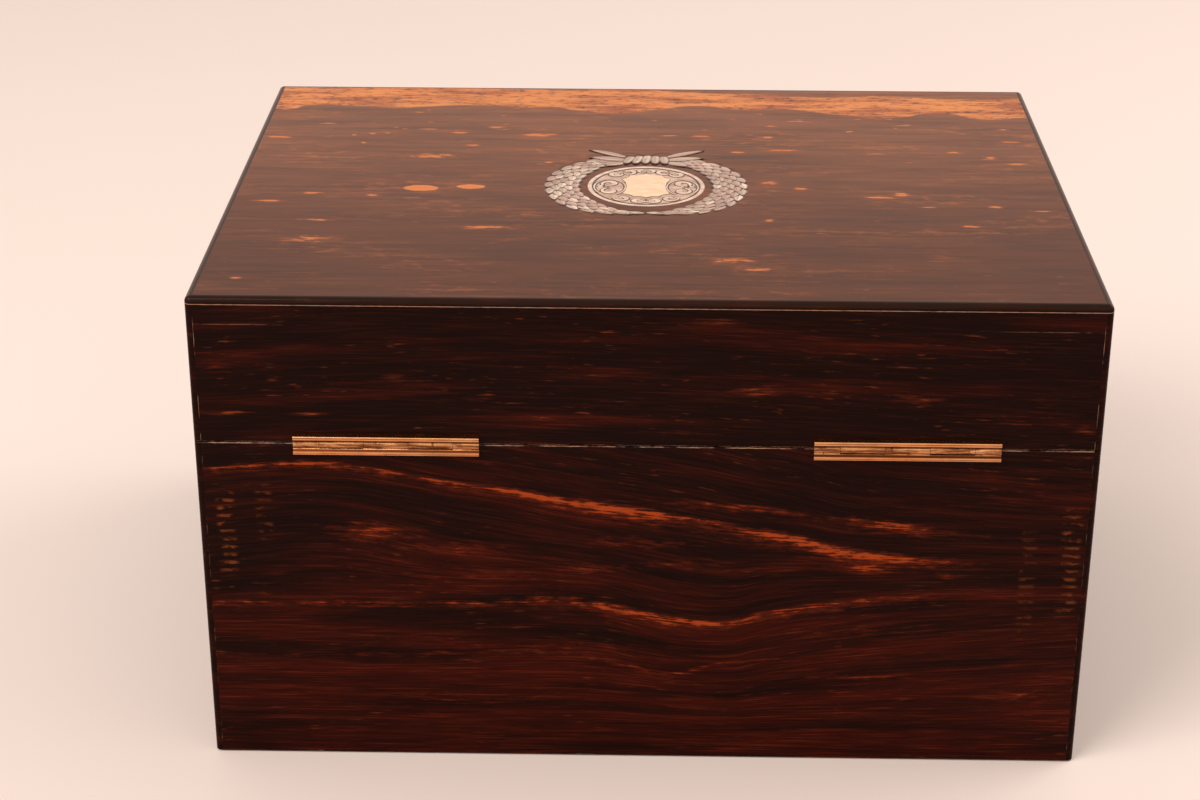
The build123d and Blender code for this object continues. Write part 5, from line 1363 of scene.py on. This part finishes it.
puff(pad, pad_sewn, 5.0, 1.3 * mm)
for vertex in pad.data.vertices:
    x, y, z = vertex.co / mm
    if z < 95:
        continue
    z -= seam_depth * math.exp(-(x / seam_width) ** 2)
    for row in tool_rows:
        for middle in tool_middles:
            off = math.hypot(y - row, max(0.0, abs(x - middle) - groove_half))
            if off < groove_radius:
                z = min(z, tool_axis - math.sqrt(groove_radius ** 2 - off ** 2))
    vertex.co.z = min(z, pad_limit) * mm
seat(pad, "case", "manicure_pad")
print("pad faces:", len(pad.data.polygons))

# %% [markdown]
# ## Ring rolls
# One half of the drawer holds fourteen stuffed velvet rolls; rings are pushed between them. Each
# is a tube of cloth filled with wool and tucked in at its ends. Modelling fourteen would repeat
# the same work, so one is puffed as cloth, and Geometry Nodes set it along the drawer with a
# slightly different fullness each time.

# %% Puff one roll and set fourteen
roll_length, roll_radius, roll_pitch, roll_count = 88.7, 6.0, 12.8, 14
roll_middle = (92.45, -11.75, 15.2)
slack, gathers, gather_depth = 0.45, 8, 0.045
around, stations = 24, 30
verts = []
for number in range(stations + 1):
    share = number / stations
    from_end = min(share, 1 - share) * roll_length
    tuck = min(1.0, (from_end + 0.25) / 4.5) ** 0.5
    for corner in range(around):
        turned = 2 * math.pi * corner / around
        gather = 1 + gather_depth * math.sin(gathers * turned) * math.exp(-from_end / 6)
        radius = (roll_radius - slack) * tuck * gather
        verts.append(((share - 0.5) * roll_length * mm, radius * math.cos(turned) * mm,
                      radius * math.sin(turned) * mm))
faces = bridge(stations + 1, around)
faces += [tuple(range(around)), tuple(range(stations * around, (stations + 1) * around))]
roll = mesh_object("one_ring_roll", verts, faces)
puff(roll, lambda place: abs(place.x) > roll_length / 2 - 2.0, 6.0, slack * mm)
uneven = random.Random(11)
fullness = [uneven.uniform(0.985, 1.03) for number in range(roll_count)]
roll_places = [(roll_middle[0], roll_middle[1] + (number - (roll_count - 1) / 2) * roll_pitch,
                roll_middle[2]) for number in range(roll_count)]
rolls = set_pieces("stuffed_ring_rolls", roll, roll_places, [0.0] * roll_count,
                   [1.0] * roll_count, fullness, velvet)
roll_bed = grid_box("ring_roll_bed", (48.1, -105.2, 11.25), (136.8, 81.7, 15.4), (30, 60, 2), 1.4)
roll_bed.data.materials.append(velvet)
for piece, node in ((rolls, "ring_rolls"), (roll_bed, None)):
    smooth(piece)
    seat(piece, "drawer", node)
print("roll faces:", len(rolls.data.polygons))

# %% [markdown]
# ## The lid's leather surround
# Inside the lid a board frames the mirror, covered in blue morocco and tooled with gold lines.
# Its edges are turned over and its four corners are mitred. A profile swept round a rectangle
# gives both: each corner repeats the profile at forty-five degrees.

# %% Sweep the leather round the mirror
frame_half_x, frame_half_y = 143.2, 106.2
profile = [
    (0.0, 164.98), (0.0, 156.0), (0.35, 154.9), (1.1, 154.2), (2.2, 154.02), (4.4, 154.0),
    (4.7, 154.25), (5.3, 154.25), (5.6, 154.0), (16.0, 153.92), (28.4, 154.0), (28.7, 154.25),
    (29.3, 154.25), (29.6, 154.0), (32.2, 154.02), (33.3, 154.3), (33.85, 155.0), (34.0, 156.0),
    (34.0, 164.98)]
verts = [(sign_x * (frame_half_x - inset) * mm, sign_y * (frame_half_y - inset) * mm, height * mm)
         for sign_x, sign_y in ((1, 1), (-1, 1), (-1, -1), (1, -1)) for inset, height in profile]
surround = mesh_object("leather_surround", verts, bridge(4, len(profile), loop=True))
surround.data.materials.append(leather)
seat(surround, "lid", "lid_border")
screw_head = turned_plate("turn_catch_screw", [
    (radius, height * mm) for radius, height in (
        (0.0, 151.15), (0.0017, 151.15), (0.0022, 151.4), (0.0022, 151.8), (0.0011, 151.8),
        (0.0011, 155.0), (0.0, 155.0))], (0.0, -76.5 * mm), 32)
screw_head.data.materials.append(brass)
seat(screw_head, "lid")
print("surround faces:", len(surround.data.polygons))

# %% [markdown]
# ## Cutting the vessels
# The walls of such bottles and jars are cut on a wheel with crossed V-shaped mitres, which leave
# rows of pointed diamonds. A bump would not show on the outline. Here each vessel is rings of
# points from its foot, up the outside, over the mouth and down the inside, and the mitres push
# the outside's points in. A square bottle, an oblong jar and a round one differ only in their
# rings.

# %% Build the glass
cut_glass, w, shader = material("cut_glass_mitred", IOR=1.52, Transmission_Weight=1.0)
place = w.split(object_place(w))
tint = w.spread(place, 60.0)
surface(w, shader, w.blend(tint, (0.91, 0.96, 0.95), (0.98, 1.0, 0.99)),
        w.step(w.spread(place, 500.0), 0.3, 0.7, 0.01, 0.05), tint, 0.00003)

# %% Cut the bottles and jars
mitre_pitch, mitre_depth, points_per_mitre, plain_rim = 5.5, 0.75, 6, 4.0
wall_thick, floor_thick, foot_bevel = 4.5, 5.0, 0.8
cover_skirt_height, cover_step, hair = 7.0, 1.3, 0.01
neck_height, shoulder_height, neck_radius, bore_radius, neck_pad = 10.0, 7.0, 10.0, 6.0, 11.5
jar_corner, inner_corner = 4.0, 2.0


def outline_point(distance, half_x, half_y, corner):
    """The place on a rounded oblong's edge so many mm round from its +X side's middle, and
    the direction outward there."""
    turn_length = math.pi / 2 * corner
    for quarter in range(5):
        reach, side = (half_x, half_y) if quarter % 2 == 0 else (half_y, half_x)
        facing = quarter * math.pi / 2
        if distance <= side - corner + 1e-9:
            place, angle = (reach, distance), facing
            break
        distance -= side - corner
        if distance <= turn_length + 1e-9:
            swing = distance / corner
            place = (reach - corner + corner * math.cos(swing),
                     side - corner + corner * math.sin(swing))
            angle = facing + swing
            break
        distance -= turn_length
        if distance <= reach - corner + 1e-9:
            place, angle = (reach - corner - distance, side), facing + math.pi / 2
            break
        distance -= reach - corner
    turned = (place[0] * math.cos(facing) - place[1] * math.sin(facing),
              place[0] * math.sin(facing) + place[1] * math.cos(facing))
    return turned, (math.cos(angle), math.sin(angle))


def girth(half_x, half_y, corner):
    return 4 * (half_x + half_y) - (8 - 2 * math.pi) * corner


def wall_rings(low, half_x, half_y, corner, body_top):
    """Rings of (height, half length, half width, corner, share of the cut) for a bevelled foot
    and walls up to body_top. The cuts fade out at both ends."""
    rings = [(low, half_x - foot_bevel, half_y - foot_bevel, corner - foot_bevel, 0.0),
             (low + foot_bevel, half_x, half_y, corner, 0.0)]
    cut_low, cut_high = low + plain_rim, body_top - plain_rim
    levels = int((cut_high - cut_low) / mitre_pitch * points_per_mitre)
    for level in range(levels + 1):
        share = min(1.0, 12.0 * level / levels, 12.0 * (levels - level) / levels)
        rings.append((cut_low + (cut_high - cut_low) * level / levels, half_x, half_y, corner,
                      share))
    return rings + [(body_top, half_x, half_y, corner, 0.0)]


def bottle_rings(low, high, half_x, half_y):
    """A square body, a shoulder, a round neck, the bore and the room inside."""
    neck_foot = high - neck_height
    shoulder = neck_foot - shoulder_height
    neck, bore = (neck_radius, neck_radius - hair), (bore_radius, bore_radius - hair)
    top = [(neck_foot, neck_pad, jar_corner), (neck_foot + hair, *neck), (high, *neck),
           (high, *bore), (shoulder, *bore), (shoulder - hair, half_x - wall_thick, inner_corner),
           (low + floor_thick, half_x - wall_thick, inner_corner)]
    return wall_rings(low, half_x, half_y, jar_corner, shoulder) + [
        (height, half, half, corner, 0.0) for height, half, corner in top]


def jar_rings(low, high, half_x, half_y):
    """A body, the step that carries its cover, the neck inside that and the room. A jar with
    equal sides is round."""
    is_round = abs(half_x - half_y) < 0.1
    corner = half_x - hair if is_round else jar_corner
    inner = half_x - wall_thick - hair if is_round else inner_corner
    step_z = high - cover_skirt_height
    neck = (half_x - cover_step, half_y - cover_step, corner - cover_step, 0.0)
    room = (half_x - wall_thick, half_y - wall_thick, inner, 0.0)
    return wall_rings(low, half_x, half_y, corner, step_z) + [
        (step_z, *neck), (high, *neck), (high, *room), (low + floor_thick, *room)]


def cut_vessels(name, node, sides, rings_of):
    """Closed vessels of glass in place of a CAD node, from the size of the one on the right."""
    corners = [vertex.co / mm for vertex in nodes[node].data.vertices]
    reach = [[place[axis] for place in corners if place.x > 0 or len(sides) == 1]
             for axis in range(3)]
    low, high = [min(values) for values in reach], [max(values) for values in reach]
    rings = rings_of(low[2], high[2], (high[0] - low[0]) / 2, (high[1] - low[1]) / 2)
    widest = max(rings, key=lambda ring: ring[1])
    count = 4 * round(girth(*widest[1:4]) / mitre_pitch / 4) * points_per_mitre
    verts, faces = [], []
    for side in sides:
        first = len(verts)
        middle_x, middle_y = side * (low[0] + high[0]) / 2, (low[1] + high[1]) / 2
        for height, half_x, half_y, corner, share in rings:
            around = girth(half_x, half_y, corner)
            for number in range(count):
                place, outward = outline_point(around * number / count, half_x, half_y, corner)
                along, rise = number / points_per_mitre, height / mitre_pitch
                crossing = min(abs((along + rise) % 1 - 0.5), abs((along - rise) % 1 - 0.5))
                cut = share * mitre_depth * (1 - 2 * crossing)
                verts.append(((middle_x + place[0] - cut * outward[0]) * mm,
                              (middle_y + place[1] - cut * outward[1]) * mm, height * mm))
        faces += bridge(len(rings), count, first)
        faces.append(tuple(range(first, first + count)))
        faces.append(tuple(range(len(verts) - 1, len(verts) - 1 - count, -1)))
    made = mesh_object(name, verts, faces)
    made.data.materials.append(cut_glass)
    seat(made, "case", node)
    print(name, "faces:", len(made.data.polygons))


cut_vessels("cut_scent_bottles", "scent_bottles", (-1, 1), bottle_rings)
cut_vessels("cut_toilet_jars", "toilet_jars", (-1, 1), jar_rings)
cut_vessels("cut_powder_jar", "powder_jar", (0,), jar_rings)

# %% [markdown]
# ## Engraved covers and beads
# Each vessel's plated cover carries an engraved border inside a ring of beads. The engraving is
# too fine for the mesh, so it is a mask and a relief in the shader, in millimetres from the
# cover's edge. The beads stand up and catch the light, so Geometry Nodes set them as spheres.

# %% Engrave the covers
cap_middle, jar_middle, powder_middle = (116.2, 79.2), (45.75, 79.2), (0.0, 12.5)


def band(w, value, low, high, soft):
    """1 between low and high, in mm, with soft ends."""
    return (w.step(value, low * mm, (low + soft) * mm)
            * w.step(value, (high - soft) * mm, high * mm, 1.0, 0.0))


def engraved_silver(name, middle, half_x, half_y, bands, pitch):
    """Silver plate with engraved bands that follow a round or square cover's outline, in mm."""
    made, w, shader = material(name, Metallic=1.0)
    x, y, z = w.split(object_place(w))
    off_x, off_y = abs(x) - middle[0] * mm, y - middle[1] * mm
    if half_y:
        inset = w.math("MINIMUM", half_x * mm - abs(off_x), half_y * mm - abs(off_y))
        run = off_x + off_y
    else:
        inset = half_x * mm - w.math("SQRT", off_x * off_x + off_y * off_y)
        run = w.math("ARCTAN2", off_y, off_x) * (half_x * mm)
    turns = 2 * math.pi / (pitch * mm)
    slant, wave = inset * turns, run * turns
    crossed = w.most(w.math("SINE", wave + slant), w.math("SINE", wave - slant))
    cut = []
    for low, high in bands:
        rims = 1.0 - band(w, inset, low + 0.2, high - 0.2, 0.15)
        lines = w.most(w.step(crossed, 0.55, 0.95, 0.0, 0.8), rims)
        cut.append(band(w, inset, low, high, 0.12) * lines)
    cut = w.most(*cut)
    wear = w.group(worn_metal, Place=object_place(w), Tarnish=0.30, Polish=0.10, Seed=middle[0])
    plated = w.blend(wear["Tarnish"], silver_bright, silver_dull)
    surface(w, shader, w.blend(cut, plated, (0.050, 0.040, 0.032)),
            wear["Roughness"] + cut * 0.25, wear["Height"] - cut * 8.0, 0.00002)
    return made


dress(engraved_silver("silver_cap_engraved", cap_middle, 13.0, 0, [(1.2, 3.6), (6.0, 7.2)], 1.36),
      "silver_plate", "scent_bottle_caps")
dress(engraved_silver("silver_jar_cover_engraved", jar_middle, 42.0, 21.0,
                      [(8.4, 11.4), (12.4, 13.2)], 2.4), "silver_plate", "toilet_jar_covers")
dress(engraved_silver("silver_powder_cover_engraved", powder_middle, 36.0, 0,
                      [(3.0, 6.8), (14.0, 16.4), (24.0, 30.0)], 2.26),
      "silver_plate", "powder_jar_cover")


# %% Set the beads round the covers
def ring_points(middle, radius, pitch, level):
    """Evenly spaced points on a circle, all in millimetres."""
    count = round(2 * math.pi * radius / pitch)
    return [(middle[0] + radius * math.cos(2 * math.pi * number / count),
             middle[1] + radius * math.sin(2 * math.pi * number / count), level)
            for number in range(count)]


def oblong_points(middle, half_x, half_y, pitch, level):
    """Evenly spaced points along a rectangle, all in millimetres."""
    points = []
    corners = [(half_x, half_y), (-half_x, half_y), (-half_x, -half_y), (half_x, -half_y)]
    for number, (x_from, y_from) in enumerate(corners):
        x_to, y_to = corners[(number + 1) % 4]
        steps = round((abs(x_to - x_from) + abs(y_to - y_from)) / pitch)
        for part in range(steps):
            share = part / steps
            points.append((middle[0] + x_from + (x_to - x_from) * share,
                           middle[1] + y_from + (y_to - y_from) * share, level))
    return points


bead_radius, bead_pitch, cap_pitch = 0.62, 1.5, 1.25
powder_level, cap_level, jar_level = 110.9, 137.2, 120.8
bead_places = ring_points(powder_middle, 35.55, bead_pitch, powder_level)
for side in (-1, 1):
    bead_places += ring_points((side * cap_middle[0], cap_middle[1]), 12.75, cap_pitch, cap_level)
    bead_places += oblong_points((side * jar_middle[0], jar_middle[1]), 34.6, 13.6, bead_pitch,
                                 jar_level)
bead_bm = bmesh.new()
bmesh.ops.create_uvsphere(bead_bm, u_segments=8, v_segments=5, radius=bead_radius * mm)
bead_mesh = bpy.data.meshes.new("one_bead")
bead_bm.to_mesh(bead_mesh)
bead_bm.free()
ones = [1.0] * len(bead_places)
beads = set_pieces("silver_beads", new_object("one_bead", bead_mesh), bead_places,
                   [0.0] * len(bead_places), ones, ones, silver)
seat(beads, "case")
print("beads:", len(bead_places))

# %% [markdown]
# ## Tool ferrules
# Each tool has a pearl handle and a steel blade, joined by a turned silver ferrule with a bead at
# each end. A lathe shape is a profile spun round an axis, so the six are one mesh of six spun
# profiles along the tools' axes.

# %% Turn the ferrules
ferrule_profile = [(-2.0, 1.6), (-2.0, 2.95), (-1.6, 3.3), (-1.1, 2.95), (-0.7, 2.75), (1.0, 2.6),
                   (1.3, 2.95), (1.8, 2.95), (2.1, 2.4), (2.1, 1.6)]
ferrule_start, blade_start, ferrule_turns, blade_turns = 4.0, 4.2, 24, 16


def round_axis(middle, row, along, half_wide, half_thick, turned):
    """A point about a tool's axis, in metres. Lengths go in as mm, the angle as a turn's share."""
    angle = 2 * math.pi * turned
    return ((middle + along) * mm, (row + half_wide * math.cos(angle)) * mm,
            (tool_axis + half_thick * math.sin(angle)) * mm)


verts, faces = [], []
for middle in tool_middles:
    for row in tool_rows:
        faces += bridge(ferrule_turns, len(ferrule_profile), len(verts), loop=True)
        verts += [round_axis(middle, row, ferrule_start + along, radius, radius,
                             number / ferrule_turns)
                  for number in range(ferrule_turns) for along, radius in ferrule_profile]
ferrules = mesh_object("tool_ferrules", verts, faces)
ferrules.data.materials.append(silver)
seat(ferrules, "case")
print("ferrules:", len(tool_middles) * len(tool_rows))

# %% [markdown]
# ## The tools' blades
# A manicure set has a different end on each handle: a flat file, a cuticle knife, a stiletto, a
# button hook, a small spoon and a pusher. Each is a bar of steel that changes its section along
# its length, so ovals are joined through stations of (place, width, thickness) in millimetres.

# %% Draw the blades out
blade_shapes = [
    [(0, 2.2, 2.2), (6, 1.3, 1.3), (12, 1.3, 1.3), (15, 3.9, 0.9), (48, 3.5, 0.8), (52, 2.4, 0.7),
     (53.8, 0.5, 0.5)],
    [(0, 2.2, 2.2), (7, 1.2, 1.2), (30, 1.1, 1.1), (34, 1.3, 1.1), (40, 4.4, 0.9), (47, 4.0, 0.8),
     (52, 1.6, 0.6), (53.8, 0.4, 0.4)],
    [(0, 2.2, 2.2), (6, 1.5, 1.5), (30, 1.2, 1.2), (50, 0.6, 0.6), (53.8, 0.3, 0.3)],
    [(0, 2.2, 2.2), (7, 1.3, 1.3), (38, 1.3, 1.3), (44, 1.6, 1.2), (49, 3.6, 0.9), (52, 3.0, 0.8),
     (53.8, 0.8, 0.5)],
    [(0, 2.2, 2.2), (6, 1.4, 1.4), (20, 1.2, 1.2), (24, 2.6, 1.0), (44, 3.2, 0.7), (51, 3.4, 0.6),
     (53.8, 2.0, 0.4)],
    [(0, 2.2, 2.2), (7, 1.3, 1.3), (34, 1.1, 1.1), (46, 1.0, 1.0), (49, 2.2, 1.1),
     (51.5, 2.4, 1.1), (53.8, 0.5, 0.5)]]
tool_places = [(middle, row) for middle in tool_middles for row in tool_rows]
verts, faces = [], []
for (middle, row), stations in zip(tool_places, blade_shapes):
    first = len(verts)
    verts += [round_axis(middle, row, blade_start + along, wide / 2, thick / 2,
                         number / blade_turns)
              for along, wide, thick in stations for number in range(blade_turns)]
    faces += bridge(len(stations), blade_turns, first)
    faces.append(tuple(range(first, first + blade_turns)))
    faces.append(tuple(range(len(verts) - blade_turns, len(verts))))
blades = mesh_object("steel_tool_blades", verts, faces)
blade_steel, w, shader = material("tool_steel_filed", Metallic=1.0)
x, y, z = w.split(object_place(w))
cross_cut = w.most(w.math("SINE", (x + y) * 14000.0), w.math("SINE", (x - y) * 14000.0))
filed = w.step(cross_cut, 0.2, 0.9) * (w.step(y, -0.0835, -0.0825, 1.0, 0.0)
                                       * w.step(x, -0.052, -0.050))
rust = w.spread((x, y, z), (500.0, 900.0, 900.0), 4.0, 0.7)
colour = w.blend(w.step(rust, 0.58, 0.75, 0.0, 0.6), (0.62, 0.62, 0.63), (0.22, 0.15, 0.11))
surface(w, shader, w.blend(filed * 0.5, colour, (0.2, 0.2, 0.2)), rust * 0.20 + 0.14,
        rust - filed, 0.00006)
blades.data.materials.append(blade_steel)
for face in blades.data.polygons:
    face.use_smooth = len(face.vertices) == 4
seat(blades, "case", "tool_blades")
print("blades:", len(blade_shapes))

# %% [markdown]
# ## The release spring
# A small coil spring under the button by the drawer holds its tongue up. A coil follows a rule, so
# Geometry Nodes draw it: a spiral line, a round wire swept along it, and its material. It gets
# shorter when the button is pressed.

# %% Coil the spring
spring_x, spring_y, spring_low, spring_high = 147.7, -81.5, 110.35, 119.30
wire_radius, coil_radius, coil_turns, press_travel = 0.26, 2.0, 6.0, 3.0
coiling, w, into = geometry_tree("coil_spring", Turns="Float", Radius="Float", Height="Float",
                                 Wire="Float", Foot="Vector")
line = w.node("GeometryNodeCurveSpiral", {
    "Resolution": 24, "Rotations": into["Turns"], "Start Radius": into["Radius"],
    "End Radius": into["Radius"], "Height": into["Height"]})
section = w.node("GeometryNodeCurvePrimitiveCircle", {"Resolution": 8, "Radius": into["Wire"]})
wound = w.node("GeometryNodeCurveToMesh", {"Curve": line, "Profile Curve": section,
                                           "Fill Caps": True})
send_out(w, into, w.node("GeometryNodeTransform", {"Geometry": wound,
                                                   "Translation": into["Foot"]}))
spring = grow("coiled_release_spring", coiling, [(0.0, 0.0, 0.0)], {}, {
    "Turns": coil_turns, "Radius": coil_radius * mm, "Wire": wire_radius * mm,
    "Height": (spring_high - spring_low - 2 * wire_radius) * mm,
    "Foot": (spring_x * mm, spring_y * mm, (spring_low + wire_radius) * mm), "Finish": steel})
seat(spring, "case", "catch_spring")
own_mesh(spring)
print("spring faces:", len(spring.data.polygons))
